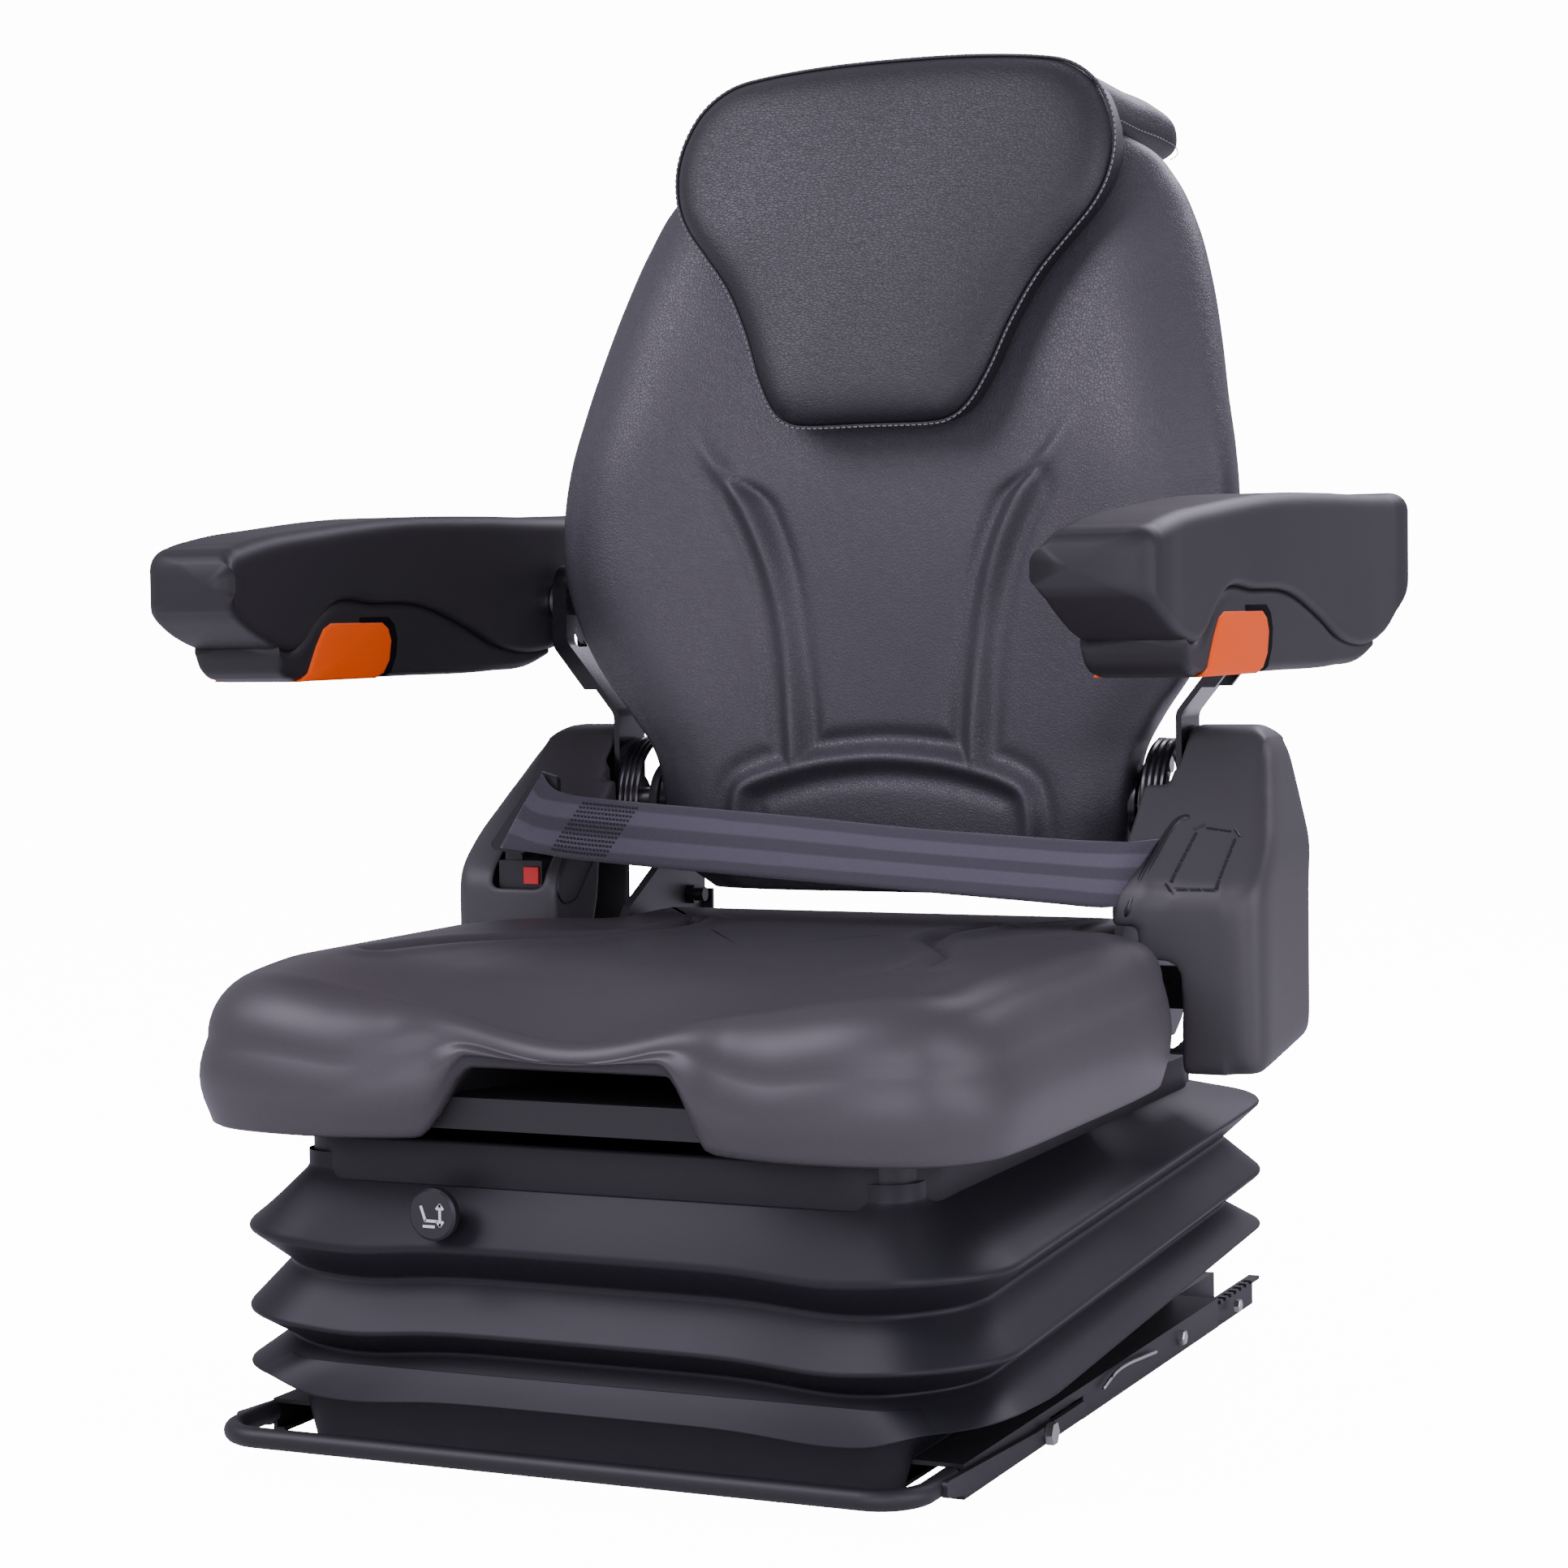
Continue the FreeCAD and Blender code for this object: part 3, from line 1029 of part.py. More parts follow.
def round_end(inset):
    y0 = ARMREST_PIVOT_Y - BRACKET_WIDTH / 2.0 + inset
    y1 = ARMREST_PIVOT_Y + BRACKET_WIDTH / 2.0 - inset
    top = BRACKET_TOP_Z - inset
    low = RECLINE_Z - 3.0 * RECLINE_SHAFT_R
    corners = [(y0, low, 0.0), (y0, top, BRACKET_WIDTH / 2.0), (y1, top, BRACKET_WIDTH / 2.0),
               (y1, low, 0.0)]
    return plate_yz(corners, -BRACKET_TOP_X - 40.0, -BRACKET_LANE_X + 40.0)


def armrest_bracket():
    y0 = ARMREST_PIVOT_Y - BRACKET_WIDTH / 2.0
    y1 = ARMREST_PIVOT_Y + BRACKET_WIDTH / 2.0
    low = RECLINE_Z - 2.0 * RECLINE_SHAFT_R
    rim_low = BRACKET_KNEE_Z + 16.0
    rimmed = block(-BRACKET_TOP_X - 40.0, -BRACKET_LANE_X + 40.0, y0, y1, rim_low, BRACKET_TOP_Z)
    web = plate_xz(bracket_strip(0.0, BRACKET_SHEET, low), y0, y1)
    rim = plate_xz(bracket_strip(0.0, BRACKET_RIM, low), y0, y1).common(rimmed)
    dish = plate_xz(bracket_strip(BRACKET_SHEET, BRACKET_RIM + 5.0, low), y0, y1)
    eye = pin_x(-BRACKET_LANE_X - BRACKET_SHEET, -BRACKET_LANE_X, RECLINE_Y, RECLINE_Z,
                2.0 * RECLINE_SHAFT_R)
    pressing = rim.cut(dish.common(round_end(BRACKET_SHEET))).fuse(web).common(round_end(0.0)).fuse(eye)
    shaft_hole = pin_x(-BRACKET_LANE_X - BRACKET_SHEET, -BRACKET_LANE_X, RECLINE_Y, RECLINE_Z,
                       RECLINE_SHAFT_R)
    pivot_hole = pin_x(-BRACKET_TOP_X - BRACKET_SHEET, -BRACKET_TOP_X, ARMREST_PIVOT_Y, ARMREST_PIVOT_Z,
                       ARMREST_PIVOT_R)
    relief_z = BRACKET_SHOULDER_Z - 4.0
    relief = plate_yz([(ARMREST_PIVOT_Y - 9.0, relief_z, 2.0), (ARMREST_PIVOT_Y + 9.0, relief_z, 2.0),
                       (ARMREST_PIVOT_Y - 7.0, relief_z + 16.0, 2.0)],
                      -BRACKET_TOP_X - BRACKET_RIM - 5.0, -BRACKET_TOP_X + 12.0)
    return pressing.cut([shaft_hole, pivot_hole, relief]).removeSplitter()


save_pair("armrest_bracket", armrest_bracket())

armrest_inner = BRACKET_TOP_X + BRACKET_RIM + ARMREST_GAP
armrest_x = armrest_inner + ARMREST_WIDTH / 2.0
pivot_tip = armrest_x + 10.0
pivot = pin_x(-pivot_tip, -BRACKET_TOP_X, ARMREST_PIVOT_Y, ARMREST_PIVOT_Z, ARMREST_PIVOT_R)
pivot = pivot.fuse(pin_x(-armrest_inner + 0.6, -BRACKET_TOP_X - BRACKET_SHEET, ARMREST_PIVOT_Y,
                         ARMREST_PIVOT_Z, 14.0))
pivot = pivot.fuse(hex_x(-BRACKET_TOP_X, -BRACKET_TOP_X + 6.0, ARMREST_PIVOT_Y, ARMREST_PIVOT_Z, 19.0))
save_pair("armrest_pivot", pivot)

# Armrest: one long lofted form, parted along an S-curve into pad and lower shell
# Each level is (share of the length, drift, share of the width, under side, upper side);
# both sides are measured from the pivot's height
armrest_shape = [(0.0, -2.0, 0.60, 6.0, 20.0), (0.016, -1.6, 0.76, -8.0, 27.0),
                 (0.043, -1.2, 0.84, -32.0, 34.0),
                 (0.095, -0.8, 0.87, -42.0, 40.0), (0.222, 0.0, 0.90, -45.0, 48.0),
                 (0.416, 1.0, 0.95, -47.0, 56.0),
                 (0.611, 2.0, 0.98, -48.0, 59.0), (0.786, 3.0, 1.0, -41.0, 59.0),
                 (0.903, 3.0, 1.0, -20.0, 61.0),
                 (0.973, 3.0, 0.94, 4.0, 62.0), (1.0, 3.0, 0.78, 20.0, 54.0)]
armrest_length = ARMREST_REAR - ARMREST_NOSE


def armrest_section(along, drift, share, under, over):
    y = ARMREST_NOSE + armrest_length * along
    low = ARMREST_PIVOT_Z + under
    high = ARMREST_PIVOT_Z + over
    half_x = share * ARMREST_WIDTH / 2.0
    half_z = (high - low) / 2.0
    middle = (high + low) / 2.0
    points = []
    for step in range(12):
        turn = 2.0 * math.pi * step / 12.0
        c = math.cos(turn)
        s = math.sin(turn)
        x = math.copysign(abs(c) ** 0.45, c) * half_x
        z = math.copysign(abs(s) ** 0.6, s) * half_z
        points.append(vec(-armrest_x - drift + x, y, middle + z))
    return smooth_ring(points)


armrest_body = Part.makeLoft([armrest_section(*level) for level in armrest_shape], True)
socket_hole = pin_x(-pivot_tip - 1.0, 0.0, ARMREST_PIVOT_Y, ARMREST_PIVOT_Z, ARMREST_PIVOT_R + RUN_GAP)
armrest_body = armrest_body.cut(socket_hole)
far_x = armrest_x + ARMREST_WIDTH


def armrest_zone(outline, x_inner):
    # Side outline as (along from the nose, height from the pivot, radius), cut across the whole armrest
    corners = [(ARMREST_NOSE + along, ARMREST_PIVOT_Z + rise, radius) for along, rise, radius in outline]
    return plate_yz(corners, -far_x, x_inner)


zone_low = -74.0
zone_inner = -armrest_inner + 20.0
parting = armrest_zone([(-46.0, zone_low, 0.0), (-46.0, -26.0, 0.0), (80.0, -25.0, 14.0),
                        (114.0, 0.0, 16.0),
                        (240.0, -1.0, 26.0), (338.0, -33.0, 26.0), (414.0, -38.0, 20.0),
                        (armrest_length + 40.0, -38.0, 0.0), (armrest_length + 40.0, zone_low, 0.0)],
                        zone_inner)
slider_zone = armrest_zone([(80.0, zone_low, 0.0), (80.0, -42.0, 4.0), (117.0, -12.0, 8.0),
                            (205.0, -13.0, 14.0),
                            (180.0, -47.0, 10.0), (180.0, zone_low, 0.0)], zone_inner)
recess_zone = armrest_zone([(80.0 - RUN_GAP, zone_low - 1.0, 0.0), (80.0 - RUN_GAP, -41.6, 4.0),
                            (117.0, -12.0 + RUN_GAP, 8.0), (206.5 + SLIDER_TRAVEL, -13.0 + RUN_GAP, 14.0),
                            (188.0 + SLIDER_TRAVEL, -47.0, 10.0),
                            (188.0 + SLIDER_TRAVEL, zone_low - 1.0, 0.0)],
                           zone_inner + 1.0)
armrest_pad = armrest_body.cut(parting)
armrest_shell = armrest_body.common(parting).cut(recess_zone)
armrest_slider = armrest_body.common(slider_zone)
save_pair("armrest_pad", armrest_pad)
save_pair("armrest_shell", armrest_shell)
save_pair("armrest_slider", armrest_slider)


# Lap belt: retractor and webbing on the right, tongue and buckle on the left
reel_x0 = COVER_INNER_X + 18.0
reel_y = COVER_FRONT + 65.0
buckle_x0 = -COVER_INNER_X - 44.0
buckle_x1 = -COVER_INNER_X - 11.0
buckle_y0 = COVER_FRONT + 7.0
tongue_x = -COVER_INNER_X + 10.0
belt_fall = BELT_LEFT_Z - BELT_RIGHT_Z


def belt_webbing():
    half = BELT_WIDTH / 2.0
    t = BELT_THICKNESS / 2.0
    rings = []
    entry_x = COVER_INNER_X + 3.0
    stations = ((tongue_x, BELT_Y - 4.0, BELT_LEFT_Z, 8.0),
                (0.6 * tongue_x, BELT_Y - 7.0, BELT_LEFT_Z - 0.21 * belt_fall, 18.0),
                (0.1 * entry_x, BELT_Y - 8.0, BELT_LEFT_Z - 0.55 * belt_fall, 24.0),
                (0.71 * entry_x, BELT_Y - 2.0, BELT_LEFT_Z - 0.84 * belt_fall, 26.0),
                (entry_x, BELT_Y + 6.5, BELT_RIGHT_Z, 30.0),
                (entry_x + 27.0, BELT_Y + 29.0, BELT_RIGHT_Z - 1.0, 30.0),
                (reel_x0 + 30.0, reel_y - REEL_R - t, REEL_Z + 8.0, 0.0))
    for x, y, z, lean in stations:
        rise = half * math.cos(math.radians(lean))
        depth = half * math.sin(math.radians(lean))
        corner = [vec(x, y - depth - t, z - rise), vec(x, y - depth + t, z - rise),
                  vec(x, y + depth + t, z + rise), vec(x, y + depth - t, z + rise)]
        rings.append(Part.makePolygon(corner + [corner[0]]))
    return Part.makeLoft(rings, True, True)


save("belt_webbing", belt_webbing())

retractor = pin_x(reel_x0, reel_x0 + 44.0, reel_y, REEL_Z, REEL_R)
retractor = retractor.fuse(block(reel_x0, reel_x0 + 3.0, reel_y - 22.0, mount_y - 6.0, mount_low, REEL_Z))
save("belt_retractor", retractor)

blade_x0 = buckle_x0 + 4.0
blade_x1 = blade_x0 + 13.0
tongue_front = BELT_Y - 7.0
tongue_low = BUCKLE_TOP + 8.0
tongue_high = BUCKLE_TOP + 13.0
tongue = plate_xz([(blade_x0 - 4.0, BUCKLE_TOP + 10.0, 3.0), (blade_x1 + 6.0, BUCKLE_TOP + 5.0, 3.0),
                   (tongue_x, BELT_LEFT_Z - 18.0, 3.0), (tongue_x, BELT_LEFT_Z + 22.0, 3.0),
                   (tongue_x - 14.0, BELT_LEFT_Z + 26.0, 3.0)], tongue_front, BELT_Y - 2.0)
tongue = tongue.fuse(block(blade_x0, blade_x1, tongue_front, buckle_y0 + 5.0, tongue_low, tongue_high))
tongue = tongue.fuse(block(blade_x0, blade_x1, buckle_y0 + 2.0, buckle_y0 + 5.0, BUCKLE_TOP - 8.0,
                           tongue_high))
save("belt_tongue", tongue.removeSplitter())

button_x0 = blade_x1 + 3.0
button_x1 = buckle_x1 - 2.0
button_low = BUCKLE_TOP - 16.0
button_high = BUCKLE_TOP - 4.0
buckle_low = BUCKLE_TOP - BUCKLE_HEIGHT
buckle = block(buckle_x0, buckle_x1, buckle_y0, buckle_y0 + 24.0, buckle_low, BUCKLE_TOP)
well = block(button_x0 - RUN_GAP, button_x1 + RUN_GAP, buckle_y0, buckle_y0 + 10.0, button_low, button_high)
mouth = block(blade_x0 - RUN_GAP, blade_x1 + RUN_GAP, buckle_y0 + 2.0 - RUN_GAP, buckle_y0 + 5.0 + RUN_GAP,
              BUCKLE_TOP - 10.0, BUCKLE_TOP)
buckle = buckle.cut(well).cut(mouth)
strap_x1 = -COVER_INNER_X - 28.0
strap_y0 = buckle_y0 + 20.0
buckle = buckle.fuse(block(buckle_x0, strap_x1, strap_y0, strap_y0 + 4.0, BELT_MOUNT_Z, buckle_low))
buckle = buckle.fuse(block(buckle_x0, strap_x1, strap_y0, mount_y - 8.0, BELT_MOUNT_Z, BELT_MOUNT_Z + 3.0))
save("belt_buckle", buckle.removeSplitter())
save("buckle_button", block(button_x0, button_x1, buckle_y0 - 2.0, buckle_y0 + 5.0, button_low + RUN_GAP,
                            button_high - RUN_GAP))

# Recline lever: an arm out through the left cover's notch and a grip beside the cushion
lever_y = COVER_FRONT + 43.0
lever_z = NOTCH_TOP - 30.0
lever_front = COVER_FRONT - 13.0
lever_under = lever_z - 6.0
lever_over = lever_z + 6.0
lever_arm_x = -COVER_INNER_X - 17.0
grip_x0 = -CUSHION_HALF_WIDTH - 18.0
grip_x1 = -CUSHION_HALF_WIDTH - 5.0
lever = plate_yz([(lever_front, lever_under, 2.0), (lever_y + 9.0, lever_z - 8.0, 7.0),
                  (lever_y + 9.0, lever_z + 8.0, 7.0), (lever_front, lever_over, 2.0)],
                 lever_arm_x, lever_arm_x + 5.0)
lever = lever.fuse(block(grip_x0, lever_arm_x + 5.0, lever_front, lever_front + 6.0, lever_under,
                         lever_over))
grip_front = lever_front - GRIP_LENGTH
grip = plate_yz([(grip_front, lever_z - 8.0, 7.0), (lever_front + 6.0, lever_z - 10.0, 5.0),
                 (lever_front + 6.0, lever_z + 10.0, 5.0), (grip_front, lever_z + 8.0, 7.0)], grip_x0,
                 grip_x1)
lever = lever.fuse(grip).cut(pin_x(lever_arm_x, lever_arm_x + 5.0, lever_y, lever_z,
                                   LEVER_PIVOT_R + RUN_GAP))
save("recline_lever", lever.removeSplitter())
lever_pin = pin_x(lever_arm_x - 1.0, -plate_outer, lever_y, lever_z, LEVER_PIVOT_R)
lever_pin = lever_pin.fuse(pin_x(lever_arm_x - 4.0, lever_arm_x - RUN_GAP, lever_y, lever_z,
                                 LEVER_PIVOT_R + 3.0))
lever_pin = lever_pin.fuse(pin_x(lever_arm_x + 5.0 + RUN_GAP, -plate_outer, lever_y, lever_z,
                                 LEVER_PIVOT_R + 3.0))
save("recline_lever_pin", lever_pin.removeSplitter())
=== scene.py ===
import math
import bpy
import bmesh
import numpy as np
from mathutils import Matrix, Vector


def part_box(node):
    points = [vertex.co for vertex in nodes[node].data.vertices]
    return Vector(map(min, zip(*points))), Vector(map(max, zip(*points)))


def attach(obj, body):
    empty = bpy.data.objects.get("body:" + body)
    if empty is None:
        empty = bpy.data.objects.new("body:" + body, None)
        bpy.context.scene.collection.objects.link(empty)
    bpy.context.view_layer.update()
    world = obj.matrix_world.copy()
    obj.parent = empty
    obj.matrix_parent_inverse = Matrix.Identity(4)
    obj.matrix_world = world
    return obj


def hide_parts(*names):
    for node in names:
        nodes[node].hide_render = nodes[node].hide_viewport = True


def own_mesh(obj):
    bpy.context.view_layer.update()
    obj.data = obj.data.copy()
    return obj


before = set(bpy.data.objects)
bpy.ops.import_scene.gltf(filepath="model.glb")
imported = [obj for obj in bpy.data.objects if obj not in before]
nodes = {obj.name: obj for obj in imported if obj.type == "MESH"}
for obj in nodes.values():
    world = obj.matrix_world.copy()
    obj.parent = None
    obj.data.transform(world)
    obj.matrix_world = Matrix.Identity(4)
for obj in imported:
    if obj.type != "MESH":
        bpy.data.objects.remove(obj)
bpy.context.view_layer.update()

mm = 0.001
print("frame loaded:", len(nodes), "nodes")


def linkNew(name, data):
    thing = bpy.data.objects.new(name, data)
    bpy.context.scene.collection.objects.link(thing)
    return thing


# camera and light
shot = {"place": (0.8732, -1.9248, 0.4871), "yaw": 24.176, "pitch": -2.968, "roll": -0.8345, "lens": 77.79,
        "sensor": 36.0, "farthest": 60.0}


def placeCamera():
    yaw, pitch, roll = (math.radians(shot[key]) for key in ("yaw", "pitch", "roll"))
    forward = Vector((-math.sin(yaw) * math.cos(pitch), math.cos(yaw) * math.cos(pitch), math.sin(pitch)))
    right = Vector((math.cos(yaw), math.sin(yaw), 0.0))
    up = right.cross(forward)
    tiltedRight = right * math.cos(roll) + up * math.sin(roll)
    tiltedUp = up * math.cos(roll) - right * math.sin(roll)
    data = bpy.data.cameras.new("studioCamera")
    data.lens = shot["lens"]
    data.sensor_width = shot["sensor"]
    data.clip_end = shot["farthest"]
    camera = linkNew("studioCamera", data)
    turn = Matrix((tiltedRight, tiltedUp, -forward)).transposed().to_4x4()
    camera.matrix_world = Matrix.Translation(shot["place"]) @ turn
    bpy.context.scene.camera = camera


studio = {
    "sky": 0.5, "backdrop": 14.0, "tint": (1.0, 0.93, 1.13),
    "floor": (0.8, 0.8, 0.81, 1.0), "floorGlow": 14.0, "floorRough": 0.9,
    "floorHalf": 9.0, "floorDrop": 0.0005,
    # place, the point it faces, width and height, watts
    "lamps": {
        "keyLight": ((-1.5, -1.7, 2.3), (0.0, 0.0, 0.45), (1.6, 1.6), 58.0),
        "fillLight": ((2.3, -1.2, 1.3), (0.0, 0.0, 0.45), (1.4, 1.8), 24.0),
        "frontLight": ((0.7, -2.7, 0.85), (0.0, 0.0, 0.35), (1.7, 1.2), 25.0),
        "sideLight": ((2.2, -0.2, 0.5), (0.28, 0.15, 0.25), (0.9, 0.9), 8.0),
        "rimLight": ((0.6, 2.0, 2.2), (0.0, 0.0, 0.45), (1.6, 1.2), 40.0),
    },
}


def softBox(name, place, aim, size, watts):
    data = bpy.data.lights.new(name, "AREA")
    data.shape = "RECTANGLE"
    data.size, data.size_y = size
    data.energy = watts
    data.color = studio["tint"]
    lamp = linkNew(name, data)
    lamp.location = place
    lamp.rotation_euler = (Vector(aim) - Vector(place)).to_track_quat("-Z", "Y").to_euler()


def lightStudio():
    world = bpy.data.worlds.new("studioSky")
    bpy.context.scene.world = world
    world.use_nodes = True
    tree = world.node_tree
    sky = tree.nodes["Background"]
    sky.inputs["Color"].default_value = (*studio["tint"], 1.0)
    sky.inputs["Strength"].default_value = studio["sky"]
    backdrop = tree.nodes.new("ShaderNodeBackground")  # bright card that only the lens sees
    backdrop.inputs["Color"].default_value = (1.0, 1.0, 1.0, 1.0)
    backdrop.inputs["Strength"].default_value = studio["backdrop"]
    path = tree.nodes.new("ShaderNodeLightPath")
    mix = tree.nodes.new("ShaderNodeMixShader")
    tree.links.new(path.outputs["Is Camera Ray"], mix.inputs["Fac"])
    tree.links.new(sky.outputs["Background"], mix.inputs[1])
    tree.links.new(backdrop.outputs["Background"], mix.inputs[2])
    tree.links.new(mix.outputs["Shader"], tree.nodes["World Output"].inputs["Surface"])
    for name, settings in studio["lamps"].items():
        softBox(name, *settings)


placeCamera()
lightStudio()
print("camera and lights placed")


# shader helpers
def setInputs(node, inputs):
    for label, value in inputs.items():
        node.inputs[label.replace("_", " ")].default_value = value


def addNode(tree, kind, **inputs):
    node = tree.nodes.new(kind)
    setInputs(node, inputs)
    return node


def noiseNode(tree, place, **inputs):
    noise = addNode(tree, "ShaderNodeTexNoise", **inputs)
    tree.links.new(place, noise.inputs["Vector"])
    return noise


def mathNode(tree, operation, first, second):
    node = tree.nodes.new("ShaderNodeMath")
    node.operation = operation
    for index, value in enumerate((first, second)):
        if isinstance(value, (int, float)):
            node.inputs[index].default_value = value
        else:
            tree.links.new(value, node.inputs[index])
    return node.outputs[0]


def weighed(tree, first, firstShare, second, secondShare):
    one = mathNode(tree, "MULTIPLY", first, firstShare)
    return mathNode(tree, "ADD", one, mathNode(tree, "MULTIPLY", second, secondShare))


def rampNode(tree, source, stops):
    ramp = tree.nodes.new("ShaderNodeValToRGB")
    elements = ramp.color_ramp.elements
    elements[0].position, elements[1].position = stops[0][0], stops[-1][0]
    for position, value in stops[1:-1]:
        elements.new(position)
    for element, (position, value) in zip(elements, stops):
        element.position = position
        element.color = (value, value, value, 1.0)
    tree.links.new(source, ramp.inputs["Fac"])
    return ramp.outputs["Color"]


def newMaterial(name):
    material = bpy.data.materials.new(name)
    material.use_nodes = True
    return material, material.node_tree, material.node_tree.nodes["Principled BSDF"]


def addTint(tree, shader, shade, dark, light):
    tint = tree.nodes.new("ShaderNodeMix")
    tint.data_type = "RGBA"
    tint.inputs["A"].default_value = (*dark, 1.0)
    tint.inputs["B"].default_value = (*light, 1.0)
    tree.links.new(shade, tint.inputs["Factor"])
    tree.links.new(tint.outputs["Result"], shader.inputs["Base Color"])


def addRelief(tree, shader, height, strength, distance):
    relief = addNode(tree, "ShaderNodeBump", Strength=strength, Distance=distance)
    tree.links.new(height, relief.inputs["Height"])
    tree.links.new(relief.outputs["Normal"], shader.inputs["Normal"])


def newGroup(name, inputs):
    group = bpy.data.node_groups.new(name, "ShaderNodeTree")
    for label, kind, value in inputs:
        socket = group.interface.new_socket(label, in_out="INPUT", socket_type=kind)
        socket.default_value = value
    for label in ("Height", "Shade"):
        group.interface.new_socket(label, in_out="OUTPUT", socket_type="NodeSocketFloat")
    return group, group.nodes.new("NodeGroupInput"), group.nodes.new("NodeGroupOutput")


def hideGrainGroup():
    group, entry, leave = newGroup("hideGrain", [("Cell Scale", "NodeSocketFloat", 320.0),
                                                 ("Crease", "NodeSocketFloat", 0.5),
                                                 ("Stretch", "NodeSocketVector", (1.0, 1.0, 1.0))])
    whole = group.nodes.new("ShaderNodeTexCoord").outputs["Object"]
    pulled = group.nodes.new("ShaderNodeVectorMath")
    pulled.operation = "MULTIPLY"
    group.links.new(whole, pulled.inputs[0])
    group.links.new(entry.outputs["Stretch"], pulled.inputs[1])
    place = pulled.outputs[0]
    # bends the cells so that they don't look like tiles
    drift = noiseNode(group, place, Scale=120.0, Detail=4.0)
    bend = group.nodes.new("ShaderNodeVectorMath")
    bend.operation = "MULTIPLY_ADD"
    bend.inputs[1].default_value = (0.007, 0.007, 0.007)
    group.links.new(drift.outputs["Color"], bend.inputs[0])
    group.links.new(place, bend.inputs[2])
    cells = group.nodes.new("ShaderNodeTexVoronoi")
    cells.feature = "DISTANCE_TO_EDGE"
    group.links.new(bend.outputs[0], cells.inputs["Vector"])
    group.links.new(entry.outputs["Cell Scale"], cells.inputs["Scale"])
    pebble = rampNode(group, cells.outputs["Distance"], [(0.0, 0.0), (0.1, 0.75), (0.35, 1.0)])
    fine = noiseNode(group, place, Scale=1100.0, Detail=2.0).outputs["Fac"]
    broad = noiseNode(group, whole, Scale=11.0, Detail=3.0).outputs["Fac"]
    height = weighed(group, pebble, entry.outputs["Crease"], fine, 0.3)
    group.links.new(height, leave.inputs["Height"])
    group.links.new(weighed(group, pebble, 0.25, broad, 0.75), leave.inputs["Shade"])
    return group


def mouldGrainGroup():
    group, entry, leave = newGroup("mouldGrain", [("Speckle Scale", "NodeSocketFloat", 700.0)])
    place = group.nodes.new("ShaderNodeTexCoord").outputs["Object"]
    speckle = noiseNode(group, place, Detail=3.0, Roughness=0.65)
    group.links.new(entry.outputs["Speckle Scale"], speckle.inputs["Scale"])
    cloud = noiseNode(group, place, Scale=9.0, Detail=4.0).outputs["Fac"]
    group.links.new(speckle.outputs["Fac"], leave.inputs["Height"])
    group.links.new(weighed(group, speckle.outputs["Fac"], 0.35, cloud, 0.65), leave.inputs["Shade"])
    return group


hideGrain = hideGrainGroup()
mouldGrain = mouldGrainGroup()
finishes = {}


def addFinish(name, group, scale, dark, light, rough, bump, depth, crease=None, stretch=None, **sockets):
    material, tree, shader = newMaterial(name)
    grain = tree.nodes.new("ShaderNodeGroup")
    grain.node_tree = group
    grain.inputs[0].default_value = scale
    if crease is not None:
        grain.inputs["Crease"].default_value = crease
    if stretch is not None:
        grain.inputs["Stretch"].default_value = stretch
    addTint(tree, shader, grain.outputs["Shade"], dark, light)
    spread = addNode(tree, "ShaderNodeMapRange", To_Min=rough[0], To_Max=rough[1])
    tree.links.new(grain.outputs["Shade"], spread.inputs["Value"])
    tree.links.new(spread.outputs["Result"], shader.inputs["Roughness"])
    addRelief(tree, shader, grain.outputs["Height"], bump, depth)
    setInputs(shader, sockets)
    finishes[name] = material


# vinyl, rubber and moulded plastic
addFinish("backVinyl", hideGrain, 430.0, (0.031, 0.03, 0.0345), (0.051, 0.049, 0.0555), (0.5, 0.4),
          0.42, 0.0005, crease=0.8)
addFinish("seatVinyl", hideGrain, 520.0, (0.033, 0.031, 0.0335), (0.047, 0.044, 0.0475), (0.48, 0.42),
          0.06, 0.0003, crease=0.4)
addFinish("headVinyl", hideGrain, 330.0, (0.0085, 0.0083, 0.0098), (0.0165, 0.0162, 0.0188), (0.5, 0.4),
          0.34, 0.0005, crease=0.9, stretch=(0.8, 1.0, 2.0))
addFinish("bellowsRubber", mouldGrain, 900.0, (0.0058, 0.0059, 0.0078), (0.0105, 0.0107, 0.0138),
          (0.52, 0.42), 0.08, 0.0003, Specular_IOR_Level=0.32)
addFinish("collarRubber", mouldGrain, 700.0, (0.009, 0.009, 0.0105), (0.015, 0.015, 0.017), (0.6, 0.5),
          0.1, 0.0003, Specular_IOR_Level=0.3)
addFinish("armrestSkin", hideGrain, 1100.0, (0.0125, 0.0119, 0.0128), (0.0195, 0.0186, 0.0198),
          (0.56, 0.48), 0.12, 0.0003, crease=0.5, Specular_IOR_Level=0.34)
addFinish("shellPlastic", mouldGrain, 1100.0, (0.0105, 0.01, 0.0108), (0.0165, 0.0159, 0.0168),
          (0.52, 0.44), 0.08, 0.0002, Specular_IOR_Level=0.36)
addFinish("coverPlastic", mouldGrain, 1200.0, (0.031, 0.0298, 0.0312), (0.047, 0.0458, 0.0472),
          (0.54, 0.44), 0.08, 0.0002)
# near-black matte finish for the sheet that paints the shadow in the recess around the orange slide
addFinish("slotPaintedShade", mouldGrain, 1100.0, (0.002, 0.002, 0.0022), (0.004, 0.004, 0.0044), (0.8, 0.7),
          0.05, 0.0002, Specular_IOR_Level=0.05)
addFinish("blackPlastic", mouldGrain, 900.0, (0.008, 0.008, 0.009), (0.014, 0.014, 0.0155), (0.44, 0.34),
          0.06, 0.0002)
